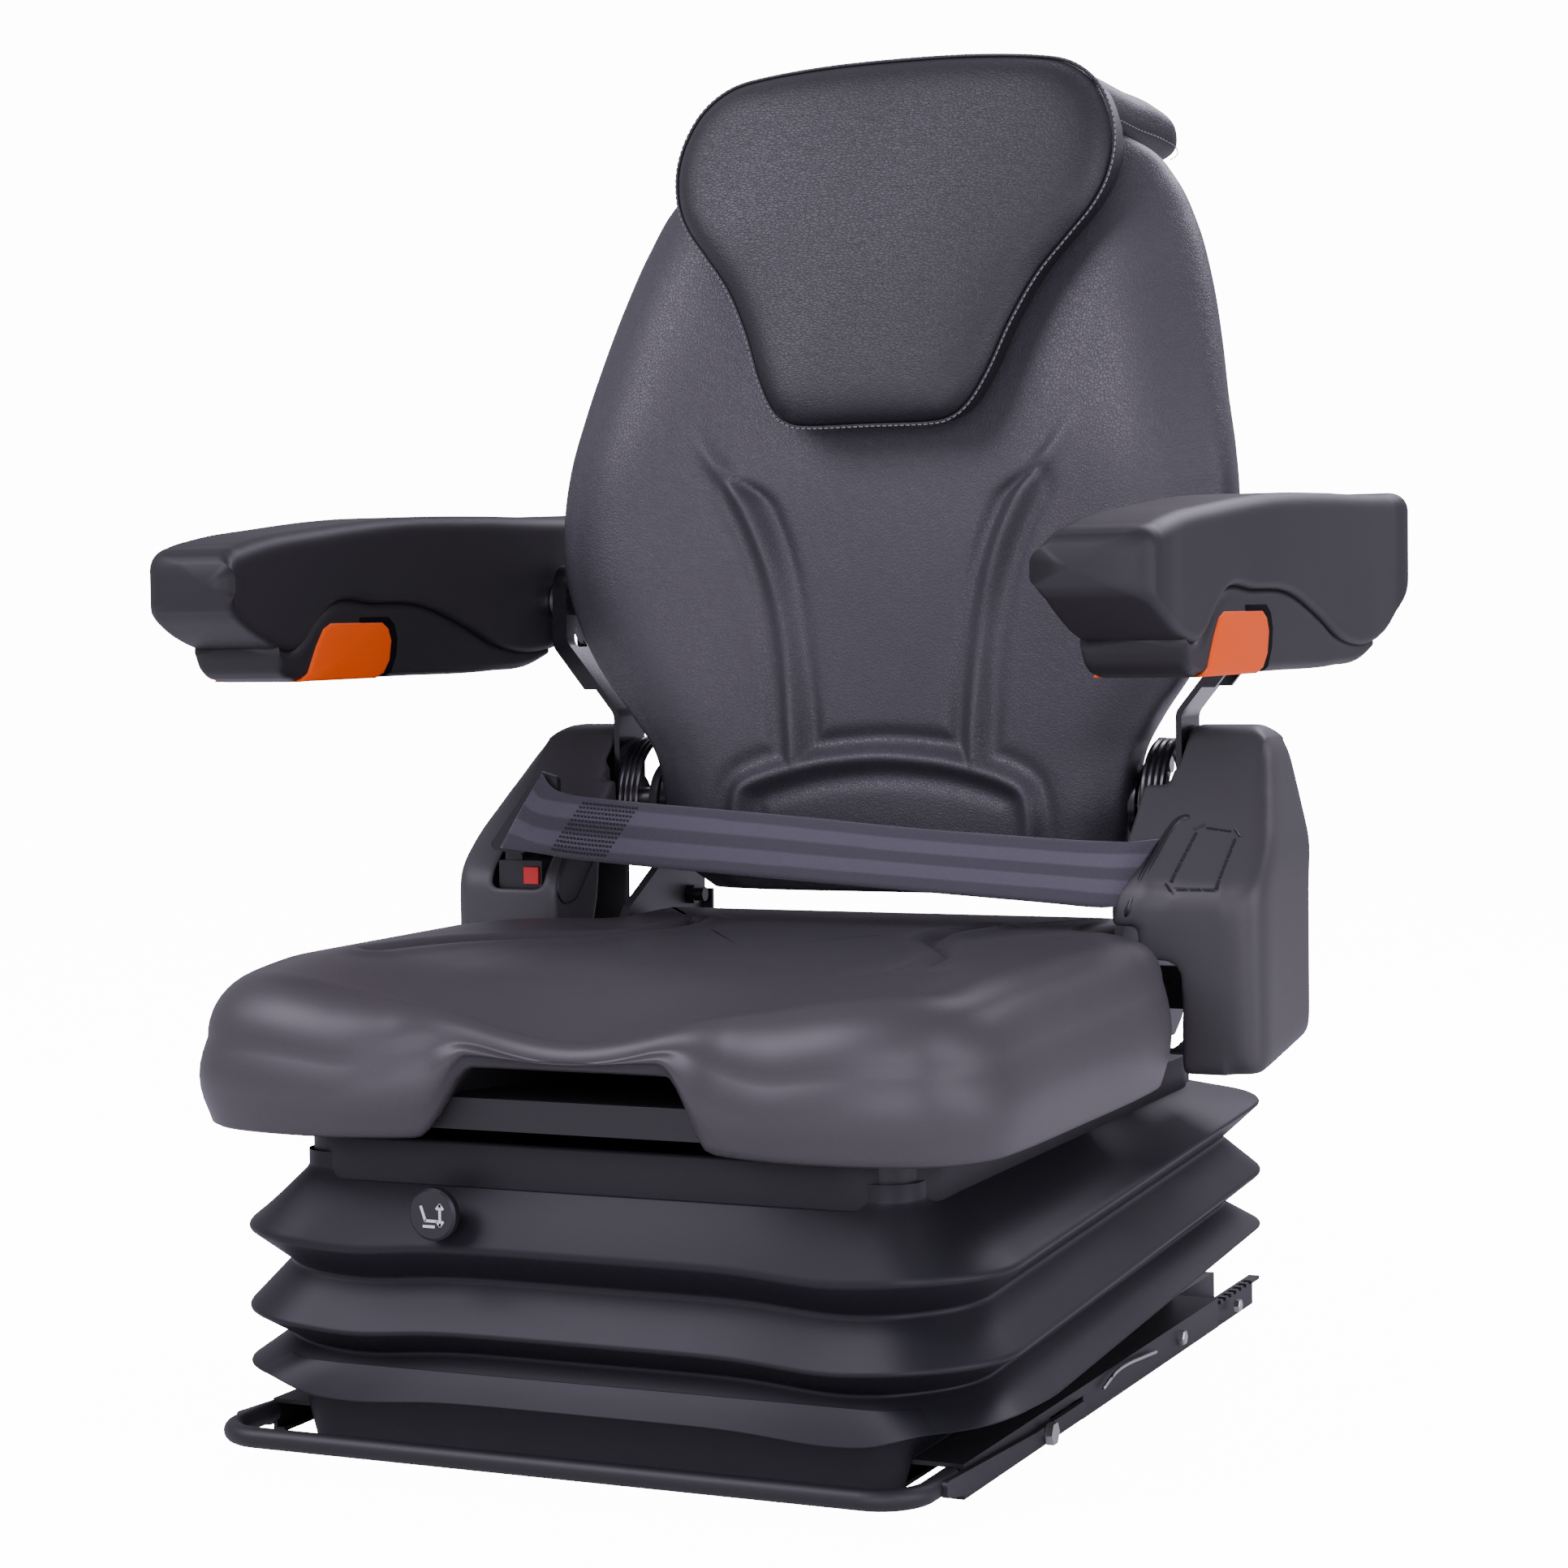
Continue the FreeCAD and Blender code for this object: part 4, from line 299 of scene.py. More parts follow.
# paint and metal
addFinish("blackPaint", mouldGrain, 260.0, (0.005, 0.005, 0.006), (0.009, 0.009, 0.01), (0.3, 0.2),
          0.05, 0.0003, Coat_Weight=0.4, Coat_Roughness=0.15)
addFinish("railPaint", mouldGrain, 320.0, (0.005, 0.005, 0.006), (0.009, 0.009, 0.01), (0.56, 0.46),
          0.05, 0.0003)
addFinish("platePaint", mouldGrain, 320.0, (0.03, 0.03, 0.033), (0.046, 0.046, 0.05), (0.45, 0.36),
          0.05, 0.0003)
addFinish("zincPlate", mouldGrain, 500.0, (0.45, 0.45, 0.44), (0.68, 0.68, 0.67), (0.42, 0.26),
          0.06, 0.0002, Metallic=1.0)
# coloured trim, thread and print
addFinish("orangeGloss", mouldGrain, 400.0, (0.78, 0.075, 0.0), (0.86, 0.1, 0.001), (0.5, 0.42),
          0.03, 0.0002, Specular_IOR_Level=0.14)
addFinish("redGloss", mouldGrain, 400.0, (0.5, 0.006, 0.006), (0.66, 0.012, 0.01), (0.32, 0.24),
          0.03, 0.0002, Coat_Weight=0.4)
addFinish("greyThread", mouldGrain, 1500.0, (0.12, 0.12, 0.13), (0.26, 0.26, 0.27), (0.7, 0.6),
          0.1, 0.0002)
addFinish("blackThread", mouldGrain, 1500.0, (0.006, 0.006, 0.008), (0.016, 0.016, 0.02), (0.7, 0.6),
          0.1, 0.0002)
addFinish("whitePrint", mouldGrain, 800.0, (0.6, 0.6, 0.6), (0.72, 0.72, 0.72), (0.55, 0.5), 0.05, 0.0002)

webbing = {
    "span": 0.048, "dark": (0.024, 0.0232, 0.031), "light": (0.07, 0.0675, 0.087), "alongTurns": 2600.0,
    "acrossTurns": 3400.0,
    # share of the width, brightness
    "stripes": [(0.0, 0.25), (0.2, 0.25), (0.23, 1.0), (0.4, 1.0), (0.43, 0.25), (0.58, 0.25), (0.61, 1.0),
                (0.78, 1.0), (0.81, 0.25), (1.0, 0.25)],
}


def webbingMaterial():
    material, tree, shader = newMaterial("webbing")
    split = tree.nodes.new("ShaderNodeSeparateXYZ")
    tree.links.new(tree.nodes.new("ShaderNodeUVMap").outputs["UV"], split.inputs["Vector"])
    along, across = split.outputs["X"], split.outputs["Y"]  # both in metres of belt
    stripes = rampNode(tree, mathNode(tree, "DIVIDE", across, webbing["span"]), webbing["stripes"])
    addTint(tree, shader, stripes, webbing["dark"], webbing["light"])
    waves = []
    for lean in (1.0, -1.0):
        slant = weighed(tree, along, webbing["alongTurns"], across, lean * webbing["acrossTurns"])
        waves.append(mathNode(tree, "SINE", slant, 0.0))
    addRelief(tree, shader, mathNode(tree, "MULTIPLY", *waves), 0.35, 0.0003)
    setInputs(shader, {"Roughness": 0.72, "Sheen Weight": 0.25})
    return material


finishes["webbing"] = webbingMaterial()
print("finishes made:", len(finishes))


def dress(finish, *names):
    for name in names:
        data = nodes[name].data
        data.materials.clear()
        data.materials.append(finishes[finish])


def sides(*names):
    return [name + end for name in names for end in ("_left", "_right")]


dress("railPaint", "lower_tray", "top_frame", "seat_pan", "pan_runners", "scissor_arm_inner",
      "scissor_arm_outer", "damper_tube", "slide_handle", *sides("rail_upper", "rail_lower"))
dress("blackPaint", *sides("hinge_arm", "cover_bracket", "armrest_bracket", "recline_spring"))
dress("platePaint", *sides("recline_plate"))
dress("zincPlate", "tray_bolts", "handle_pivot_bolts", "scissor_middle_pins", "damper_rod",
      "damper_pin_lower", "damper_pin_upper", "recline_shafts", "hinge_screws", "recline_lever_pin",
      *sides("armrest_pivot"))
dress("coverPlastic", "back_shell", *sides("side_cover"))
dress("blackPlastic", "rail_glides", "upper_rollers", "lower_rollers", "height_valve", "height_button",
      "belt_retractor", "belt_tongue", "belt_buckle", "recline_lever", "air_compressor", "recline_stops")
dress("armrestSkin", *sides("armrest_pad"))
dress("shellPlastic", *sides("armrest_shell"))
dress("orangeGloss", *sides("armrest_slider"))
dress("redGloss", "buckle_button")
dress("bellowsRubber", "bellows", "air_spring")
dress("webbing", "belt_webbing")
dress("seatVinyl", "seat_cushion")
dress("backVinyl", "back_cushion")
dress("headVinyl", "head_pad")


# shape helpers, all in millimetres until the mesh is made
def easeTable(pairs):
    xs, ys = np.array(pairs, float).T
    slopes = np.gradient(ys, xs)

    def value(x):
        x = np.clip(np.asarray(x, float), xs[0], xs[-1])
        index = np.clip(np.searchsorted(xs, x) - 1, 0, len(xs) - 2)
        width = xs[index + 1] - xs[index]
        t = (x - xs[index]) / width
        start = (2 * t**3 - 3 * t**2 + 1) * ys[index] + (t**3 - 2 * t**2 + t) * slopes[index] * width
        end = (3 * t**2 - 2 * t**3) * ys[index + 1] + (t**3 - t**2) * slopes[index + 1] * width
        return start + end
    return value


def levelTables(levels):
    first, *others = zip(*levels)
    return [easeTable(list(zip(first, other))) for other in others]


def ease(x, low, high):
    t = np.clip((np.asarray(x, float) - low) / (high - low), 0.0, 1.0)
    return t * t * (3.0 - 2.0 * t)


def bell(distance, width):
    return np.exp(-(distance / width) ** 2)


def mirrored(half):
    return half + [(-x, other) for x, other in reversed(half[1:-1])]


def lengthsAlong(line):
    return np.concatenate([[0.0], np.cumsum(np.linalg.norm(np.diff(line, axis=0), axis=1))])


def evenly(line, count, closed=True):
    walked = lengthsAlong(line)
    wanted = np.linspace(0.0, walked[-1], count, endpoint=not closed)
    return np.stack([np.interp(wanted, walked, line[:, axis]) for axis in range(line.shape[1])], axis=1)


def curveThrough(points, count, closed=True):
    points = np.array(points, float)
    dense = []
    for span in range(len(points) if closed else len(points) - 1):
        a, b, c, d = points.take(range(span - 1, span + 3), axis=0, mode="wrap" if closed else "clip")
        for t in np.linspace(0.0, 1.0, 24, endpoint=False):
            bent = (c - a) * t + (2 * a - 5 * b + 4 * c - d) * t**2 + (3 * b - a - 3 * c + d) * t**3
            dense.append(b + 0.5 * bent)
    dense.append(points[0] if closed else points[-1])
    return evenly(np.array(dense), count, closed)


def arc(cx, cy, radius, start, count):
    angles = np.radians(np.linspace(start, start + 90.0, count))
    return [(cx + radius * math.cos(angle), cy + radius * math.sin(angle)) for angle in angles]


def distanceToLine(points, line):
    best = np.full(len(points), 1e9)
    for a, b in zip(line[:-1], line[1:]):
        step = b - a
        t = np.clip(((points - a) @ step) / (step @ step), 0.0, 1.0)
        best = np.minimum(best, np.linalg.norm(points - (a + t[:, None] * step), axis=1))
    return best


def shrunk(ring, share, shift):
    middle = ring.mean(axis=0)
    return middle + (ring - middle) * share + np.array(shift)


def newPiece(name, points, faces, finish, smooth=True):
    mesh = bpy.data.meshes.new(name)
    mesh.from_pydata(points, [], faces)
    work = bmesh.new()
    work.from_mesh(mesh)
    bmesh.ops.remove_doubles(work, verts=work.verts, dist=1e-6)
    bmesh.ops.recalc_face_normals(work, faces=work.faces)
    work.to_mesh(mesh)
    work.free()
    for polygon in mesh.polygons:
        polygon.use_smooth = smooth
    mesh.materials.append(finishes[finish])
    return linkNew(name, mesh)


def ringMesh(name, rings, finish, capStart=True, capEnd=True):
    rings = np.array(rings, float)
    count, around = rings.shape[0], rings.shape[1]
    points = list(map(tuple, (rings.reshape(-1, 3) * mm)))
    faces = []
    for ring in range(count - 1):
        for step in range(around):
            here = ring * around + step
            ahead = ring * around + (step + 1) % around
            faces.append((here, ahead, ahead + around, here + around))
    for wanted, ring in ((capStart, 0), (capEnd, count - 1)):
        if wanted:
            points.append(tuple(rings[ring].mean(axis=0) * mm))
            middle = len(points) - 1
            for step in range(around):
                faces.append((ring * around + step, ring * around + (step + 1) % around, middle))
    return newPiece(name, points, faces, finish)


def tubeMesh(name, path, radius, finish, closed=True, around=8):
    path = np.array(path, float)
    ahead = np.roll(path, -1, axis=0) - np.roll(path, 1, axis=0)
    if not closed:
        ahead[0], ahead[-1] = path[1] - path[0], path[-1] - path[-2]
    ahead /= np.linalg.norm(ahead, axis=1)[:, None]
    side = np.cross(ahead, np.array([0.0, 1.0, 0.0]))
    weak = np.linalg.norm(side, axis=1) < 0.2
    side[weak] = np.cross(ahead[weak], np.array([0.0, 0.0, 1.0]))
    side /= np.linalg.norm(side, axis=1)[:, None]
    over = np.cross(side, ahead)
    turn = np.linspace(0.0, 2.0 * math.pi, around, endpoint=False)
    c, s = np.cos(turn)[:, None], np.sin(turn)[:, None]
    rings = [spot + radius * (c * across + s * up) for spot, across, up in zip(path, side, over)]
    if closed:
        rings.append(rings[0])
    return ringMesh(name, rings, finish, capStart=not closed, capEnd=not closed)


def settle(piece, body, slot, *replaced):
    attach(piece, body)
    if replaced:
        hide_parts(*replaced)
    return piece


# repeated marks that follow a line, made by Geometry Nodes
def markTree(name, finish, box):
    tree = bpy.data.node_groups.new(name, "GeometryNodeTree")
    tree.interface.new_socket("Geometry", in_out="INPUT", socket_type="NodeSocketGeometry")
    for label in ("Pitch", "Mark Length", "Mark Width", "Mark Height"):
        tree.interface.new_socket(label, in_out="INPUT", socket_type="NodeSocketFloat")
    tree.interface.new_socket("Geometry", in_out="OUTPUT", socket_type="NodeSocketGeometry")
    entry = tree.nodes.new("NodeGroupInput")
    leave = tree.nodes.new("NodeGroupOutput")
    spots = tree.nodes.new("GeometryNodeCurveToPoints")
    spots.mode = "LENGTH"
    tree.links.new(entry.outputs["Geometry"], spots.inputs["Curve"])
    tree.links.new(entry.outputs["Pitch"], spots.inputs["Length"])
    if box:
        shape = tree.nodes.new("GeometryNodeMeshCube")
        size = tree.nodes.new("ShaderNodeCombineXYZ")
        for label, axis in (("Mark Height", "X"), ("Mark Width", "Y"), ("Mark Length", "Z")):
            tree.links.new(entry.outputs[label], size.inputs[axis])
        tree.links.new(size.outputs[0], shape.inputs["Size"])
    else:
        shape = addNode(tree, "GeometryNodeMeshCylinder", Vertices=8)
        tree.links.new(entry.outputs["Mark Width"], shape.inputs["Radius"])
        tree.links.new(entry.outputs["Mark Length"], shape.inputs["Depth"])
    copies = tree.nodes.new("GeometryNodeInstanceOnPoints")
    tree.links.new(spots.outputs["Points"], copies.inputs["Points"])
    tree.links.new(shape.outputs["Mesh"], copies.inputs["Instance"])
    tree.links.new(spots.outputs["Rotation"], copies.inputs["Rotation"])
    real = tree.nodes.new("GeometryNodeRealizeInstances")
    tree.links.new(copies.outputs["Instances"], real.inputs["Geometry"])
    coat = addNode(tree, "GeometryNodeSetMaterial", Material=finishes[finish])
    tree.links.new(real.outputs["Geometry"], coat.inputs["Geometry"])
    tree.links.new(coat.outputs["Geometry"], leave.inputs["Geometry"])
    return tree


def finalMesh(thing):
    bpy.context.view_layer.update()
    mesh = bpy.data.meshes.new_from_object(thing.evaluated_get(bpy.context.evaluated_depsgraph_get()))
    bpy.data.objects.remove(thing)
    return mesh


def marksAlong(name, paths, tree, sizes, body, slot, closed=False):
    curve = bpy.data.curves.new(name + "Path", "CURVE")
    curve.dimensions = "3D"
    for path in paths:
        spline = curve.splines.new("POLY")
        spline.points.add(len(path) - 1)
        for spot, point in zip(path, spline.points):
            point.co = (spot[0] * mm, spot[1] * mm, spot[2] * mm, 1.0)
        spline.use_cyclic_u = closed
    carrier = linkNew(name + "Path", curve)
    modifier = carrier.modifiers.new("marks", "NODES")
    modifier.node_group = tree
    for item in tree.interface.items_tree:
        if item.in_out == "INPUT" and item.name in sizes:
            modifier[item.identifier] = sizes[item.name] * mm
    mesh = finalMesh(carrier)
    mesh.name = name
    return settle(linkNew(name, mesh), body, slot)


threadTree = markTree("seamThread", "greyThread", box=False)
darkThreadTree = markTree("tackThread", "blackThread", box=False)
dashTree = markTree("knockOutDashes", "blackPlastic", box=True)


# backrest
back = {
    # height, half width, front, rear, how far the bolsters stand forward, depth of the widest edge
    "levels": [(294, 142, 197, 252, 2, 218), (308, 157, 191, 262, 6, 208), (340, 167, 188, 272, 10, 200),
               (395, 178, 188, 280, 14, 193), (411, 188, 188, 281, 16, 190), (443, 211, 188, 284, 20, 187),
               (481, 230, 188, 287, 23, 186), (510, 239, 188, 290, 24, 188), (545, 242, 189, 294, 23, 192),
               (590, 238, 192, 298, 21, 199), (620, 232, 196, 300, 18, 207), (660, 224, 204, 304, 14, 222),
               (700, 214, 214, 308, 10, 237), (740, 200, 225, 313, 7, 250), (770, 184, 236, 316, 5, 257),
               (790, 166, 245, 315, 3, 263), (806, 138, 253, 312, 2, 271)],
    "beadHeight": 8.0, "beadWidth": 6.4, "innerGroove": 5.0, "outerGroove": 2.8, "grooveOut": 13.5,
    "grooveWidth": 6.5, "fade": (556.0, 622.0), "rows": 205, "around": 430, "frontShare": 3.2,
    # across and up, on the right half
    "bead": [(160, 646), (137, 612), (124, 591), (101, 560), (83, 520), (73.2, 480), (68.2, 440), (65.8, 400),
             (65.8, 384)],
    "arch": [(106, 318), (106.5, 340), (105.5, 354), (102, 364), (91, 370.5), (70, 377), (40, 383), (0, 386)],
}


def backSection(z, half, front, rear, bolster, edge):
    side = [(0.0, front), (0.42 * half, front - 0.2 * bolster), (0.76 * half, front - bolster),
            (0.93 * half, 0.62 * (front - bolster) + 0.38 * edge), (half, edge),
            (0.965 * half, edge + 0.45 * (rear - edge)), (0.86 * half, rear - 6.0),
            (0.5 * half, rear), (0.0, rear)]
    around = back["around"]
    flat = curveThrough(mirrored(side), 6 * around)
    weight = np.where(flat[:, 1] < edge + 4.0, back["frontShare"], 1.0)  # closer points where the beads are
    walked = np.concatenate([[0.0], np.cumsum(weight)[:-1]]) / weight.sum()
    picked = np.interp(np.linspace(0.0, 1.0, around, endpoint=False), walked, np.arange(len(flat)))
    spots = flat[np.round(picked).astype(int) % len(flat)]
    return np.column_stack([spots, np.full(around, z)])


def makeBack():
    tables = levelTables(back["levels"])
    beadLine = curveThrough(back["bead"], 60, closed=False)
    beadAt = easeTable([(z, x) for x, z in reversed(back["bead"])])
    arch = back["arch"]
    archLine = curveThrough(arch + [(-x, z) for x, z in reversed(arch[:-1])], 120, closed=False)
    archAt = easeTable(list(reversed(arch[2:])))
    rings = []
    for z in np.linspace(back["levels"][0][0], back["levels"][-1][0], back["rows"]):
        half, front, rear, bolster, edge = (float(table(z)) for table in tables)
        ring = backSection(z, half, front, rear, bolster, edge)
        flat = np.column_stack([np.abs(ring[:, 0]), ring[:, 2]])
        near = distanceToLine(flat, beadLine)
        nearArch = distanceToLine(flat, archLine)
        fade = 1.0 - ease(z, *back["fade"])
        bead = np.maximum(bell(near, back["beadWidth"]) * fade, bell(nearArch, back["beadWidth"]))
        inside = 1.0 - ease(flat[:, 0] - float(beadAt(z)), -6.0, 6.0)
        aboveArch = ease(z - archAt(np.clip(flat[:, 0], 0.0, 105.0)), -4.0, 4.0)
        depth = back["outerGroove"] + (back["innerGroove"] - back["outerGroove"]) * inside * aboveArch
        nearest = np.minimum(near + (1.0 - fade) * 60.0, nearArch)
        groove = depth * bell(nearest - back["grooveOut"], back["grooveWidth"])
        onFront = ease(edge - ring[:, 1], -6.0, 6.0) * (1.0 - ease(flat[:, 0] / half, 0.78, 0.94))
        ring[:, 1] -= (back["beadHeight"] * bead - groove) * onFront
        rings.append(ring)
    foot = [shrunk(rings[0], share, (0.0, 0.0, rise)) for share, rise in ((0.55, -1.0), (0.85, -0.5))]
    crown = [shrunk(rings[-1], share, (0.0, 0.0, rise)) for share, rise in ((0.86, 4.0), (0.55, 6.0))]
    piece = ringMesh("backrestPad", foot + rings + crown, "backVinyl")
    settle(piece, "backrest", "vinyl", "back_cushion")


makeBack()
print("backrest made")


# head pad
head = {
    "outline": [(0, 608), (44, 608), (60, 611.5), (72, 622), (83.5, 643), (96, 674), (112, 704), (131, 728),
                (147, 748), (156, 767), (159, 790), (154.5, 812), (143, 832), (124, 846), (98, 852),
                (52, 856), (0, 857)],
    "middle": 742.0, "edgeFront": 164.0, "edgeLow": 609.0, "lean": 0.25, "edgeDrop": 13.0, "crown": 6.0,
    "edgeRound": 8.0, "around": 360, "welt": 1.3,
    # how far behind the edge, how far out, from the back of the side wall to the seam
    "wall": [(34.0, -5.0), (20.4, -1.2), (6.0, -0.6), (2.6, -1.0), (1.2, -1.6)],
    "stitches": {"Pitch": 4.2, "Mark Length": 2.7, "Mark Width": 0.42},
    # share of the depth, half width, upper side, under side
    "hood": [(0.0, 146, 851, 792), (0.2, 147, 850, 789), (0.45, 152, 846, 785), (0.7, 159, 842, 782),
             (0.86, 161, 834, 782), (0.95, 155, 824, 785), (1.0, 144, 812, 791)],
    "hoodRear": 358.0, "hemDrop": 9.0,
}


def headEdge(z):
    return head["edgeFront"] + head["lean"] * (z - head["edgeLow"])


def makePanel():
    outline = curveThrough(mirrored(head["outline"]), head["around"])
    middle = np.array([0.0, head["middle"]])
    reach = np.linalg.norm(outline - middle, axis=1)
    outward = (outline - middle) / reach[:, None]
    rings = []
    for behind, out in head["wall"]:
        spot = outline + outward * out
        rings.append(np.column_stack([spot[:, 0], headEdge(outline[:, 1]) + behind, spot[:, 1]]))
    for share in np.concatenate([np.linspace(0.014, 0.2, 22), np.linspace(0.23, 0.97, 28)]):
        spot = outline + (middle - outline) * share
        inward = (share - 0.01) * reach
        rise = head["edgeDrop"] * (1.0 - np.exp(-inward / head["edgeRound"]))
        rise = rise + head["crown"] * (1.0 - (1.0 - share) ** 2)
        rings.append(np.column_stack([spot[:, 0], headEdge(spot[:, 1]) - rise, spot[:, 1]]))
    panel = ringMesh("headPanel", rings, "headVinyl", capStart=False)
    settle(panel, "backrest", "vinyl", "head_pad")
    seam = np.column_stack([outline[:, 0], headEdge(outline[:, 1]) + 0.8, outline[:, 1]])
    settle(tubeMesh("headWelt", seam, head["welt"], "headVinyl"), "backrest", "vinyl")
    stitched = outline + outward * 0.9
    line = np.column_stack([stitched[:, 0], headEdge(stitched[:, 1]) - 0.2, stitched[:, 1]])
    marksAlong("headStitches", [line], threadTree, head["stitches"], "backrest", "vinyl", closed=True)


def makeHood():
    tables = levelTables(head["hood"])
    turn = np.linspace(0.0, 2.0 * math.pi, 180, endpoint=False)
    c, s = np.cos(turn), np.sin(turn)
    rings = []
    for share in np.concatenate([np.linspace(0.0, 0.88, 44), np.linspace(0.9, 1.0, 12)]):
        half, high, low = (float(table(share)) for table in tables)
        x = np.sign(c) * np.abs(c) ** 0.6 * half
        z = (high + low) / 2 + np.sign(s) * np.abs(s) ** 0.75 * (high - low) / 2
        start = headEdge(z) + 3.0
        y = start + (head["hoodRear"] - start) * share
        rings.append(np.column_stack([x, y, z]))
    hem = np.array([ring[0] for ring in rings[10:52]]) + np.array([0.4, 0.0, -head["hemDrop"]])
    last = rings[-1]
    rings += [shrunk(last, share, (0.0, out, 0.0)) for share, out in ((0.86, 1.4), (0.55, 2.2), (0.2, 2.6))]
    hood = ringMesh("headHood", rings, "headVinyl")
    settle(hood, "backrest", "vinyl")
    both = [hem, hem * np.array([-1.0, 1.0, 1.0])]
    marksAlong("hoodStitches", both, threadTree, head["stitches"], "backrest", "vinyl")


makePanel()
makeHood()
print("head pad made")


# seat cushion
cushion = {
    "outline": [(0, -281), (48, -281), (78, -285), (104, -296), (138, -304), (186, -303), (222, -291),
                (243, -263), (249.5, -220), (250, -120), (249, -20), (244, 32), (230, 58), (204, 76),
                (182, 92), (174, 116), (174, 182), (164, 197), (140, 201), (70, 201), (0, 201)],
    "around": 460, "low": 193.0, "top": 281.0, "bulge": 5.4, "rearLift": 16.0, "middle": (0.0, -50.0),
    # the notch under the front, by distance from the middle
    "notchRise": 40.0, "notchEdge": (60.0, 90.0), "frontRun": (262.0, 281.0),
    # rounding at the rear, how much it grows forward and shrinks at the notch
    "round": 16.0, "roundGrows": 22.0, "roundShrinks": 27.0,
    # each rise or drop with where it starts and ends, across or forward
    "lobe": 7.0, "lobeAcross": (110.0, 190.0), "lobeForward": (-120.0, 20.0), "frontDrop": 9.0,
    "dropForward": (190.0, 305.0), "sideDrop": 10.0, "dropAcross": (190.0, 262.0), "scoop": 27.0,
    "scoopWidth": 84.0, "scoopForward": (150.0, 290.0),
    "crease": [(176, -190), (160, -112), (128, -36), (102, 14), (94, 60), (104, 104)],
    "creaseDepth": 3.8, "creaseWidth": 4.5, "ridge": 1.6, "ridgeOut": 13.0, "ridgeWidth": 7.0,
}
creaseLine = curveThrough(cushion["crease"], 70, closed=False)


def cushionTop(x, y):
    side = np.abs(x)
    lobe = cushion["lobe"] * ease(side, *cushion["lobeAcross"]) * ease(-y, *cushion["lobeForward"])
    z = cushion["top"] + lobe - cushion["frontDrop"] * ease(-y, *cushion["dropForward"])
    z = z - cushion["scoop"] * bell(x, cushion["scoopWidth"]) * ease(-y, *cushion["scoopForward"])
    z = z - cushion["sideDrop"] * ease(side, *cushion["dropAcross"])
    near = distanceToLine(np.column_stack([side, y]), creaseLine)
    z = z - cushion["creaseDepth"] * bell(near, cushion["creaseWidth"])
    return z + cushion["ridge"] * bell(near - cushion["ridgeOut"], cushion["ridgeWidth"])


def makeCushion():
    outline = curveThrough(mirrored(cushion["outline"]), cushion["around"])
    along = np.roll(outline, -1, axis=0) - np.roll(outline, 1, axis=0)
    outward = np.column_stack([along[:, 1], -along[:, 0]]) / np.linalg.norm(along, axis=1)[:, None]
    x, y = outline[:, 0], outline[:, 1]
    atFront = ease(-y, *cushion["frontRun"])
    low = cushion["low"] + cushion["notchRise"] * (1.0 - ease(np.abs(x), *cushion["notchEdge"])) * atFront
    low = low + cushion["rearLift"] * ease(y, 70.0, 100.0)
    roundness = cushion["round"] + cushion["roundGrows"] * ease(-y, -70.0, 0.0)
    roundness = roundness - cushion["roundShrinks"] * ease(140.0 - np.abs(x), 0.0, 90.0) * atFront
    high = cushionTop(x - outward[:, 0] * roundness, y - outward[:, 1] * roundness)
    rings = []

    def ring(offset, z):
        spot = outline + outward * np.broadcast_to(offset, x.shape)[:, None]
        rings.append(np.column_stack([spot, np.broadcast_to(z, x.shape)]))

    for offset, rise in ((-34.0, 3.0), (-14.0, 1.0), (-5.0, 0.0), (-1.6, 1.8), (-0.2, 6.0)):
        ring(offset, low + rise)
    foot = low + 6.0
    for share in (0.2, 0.35, 0.5, 0.65, 0.8, 0.9):
        ring(cushion["bulge"] * math.sin(math.pi * share), foot + (high - roundness - foot) * share)
    for angle in np.radians(np.arange(0.0, 90.1, 7.5)):
        ring(-roundness * (1.0 - math.cos(angle)), high - roundness * (1.0 - math.sin(angle)))
    edge = rings[-1][:, :2].copy()
    for share in np.linspace(0.015, 0.985, 66):
        spot = edge + (np.array(cushion["middle"]) - edge) * share
        rings.append(np.column_stack([spot, cushionTop(spot[:, 0], spot[:, 1])]))
    piece = ringMesh("seatCushionPad", rings, "seatVinyl")
    settle(piece, "suspended_seat", "vinyl", "seat_cushion")


makeCushion()
print("seat cushion made")


# bellows
folds = {
    # kind of ring, height, how much higher it lies at the rear
    "stations": [("head", 176, 0), ("head", 166, 0), ("crest", 142.5, 27), ("valley", 120.5, 25),
                 ("crest", 95, 28), ("valley", 77, 24), ("lowCrest", 56.5, 31), ("under", 73, 29),
                 ("foot", 32, 10), ("foot", 25.9, 0)],
    # half width, front, rear, corner radius
    "crest": (243, -272, 300, 60), "lowCrest": (243, -272, 300, 60), "valley": (219, -250, 276, 48),
    "head": (192.8, -252.8, 264.8, 20), "under": (205, -262, 262, 32), "foot": (189, -258, 239, 24),
    "softness": 0.1, "around": 400, "slopeMiddle": 22.0, "slopeRun": 515.0, "travel": 70.0,
    "sag": 4.5, "sagAt": 150.0, "sagWidth": 42.0, "droop": 5.0, "cornerLift": 6.5,
    "collar": {"half": 196.5, "front": -256.5, "rear": 268.0, "corner": 46.0, "low": 161.0, "high": 187.0,
               "thick": 3.0},
    "lobes": 2.0, "waist": 0.74, "springAround": 72,
}


def foldOutline(half, front, rear, corner):
    right, near, far = half - corner, front + corner, rear - corner
    points = []
    for cx, cy, start in ((right, near, -90.0), (right, far, 0.0), (-right, far, 90.0),
                          (-right, near, 180.0)):
        points += arc(cx, cy, corner, start, 13)
    return evenly(np.array(points + points[:1]), folds["around"])


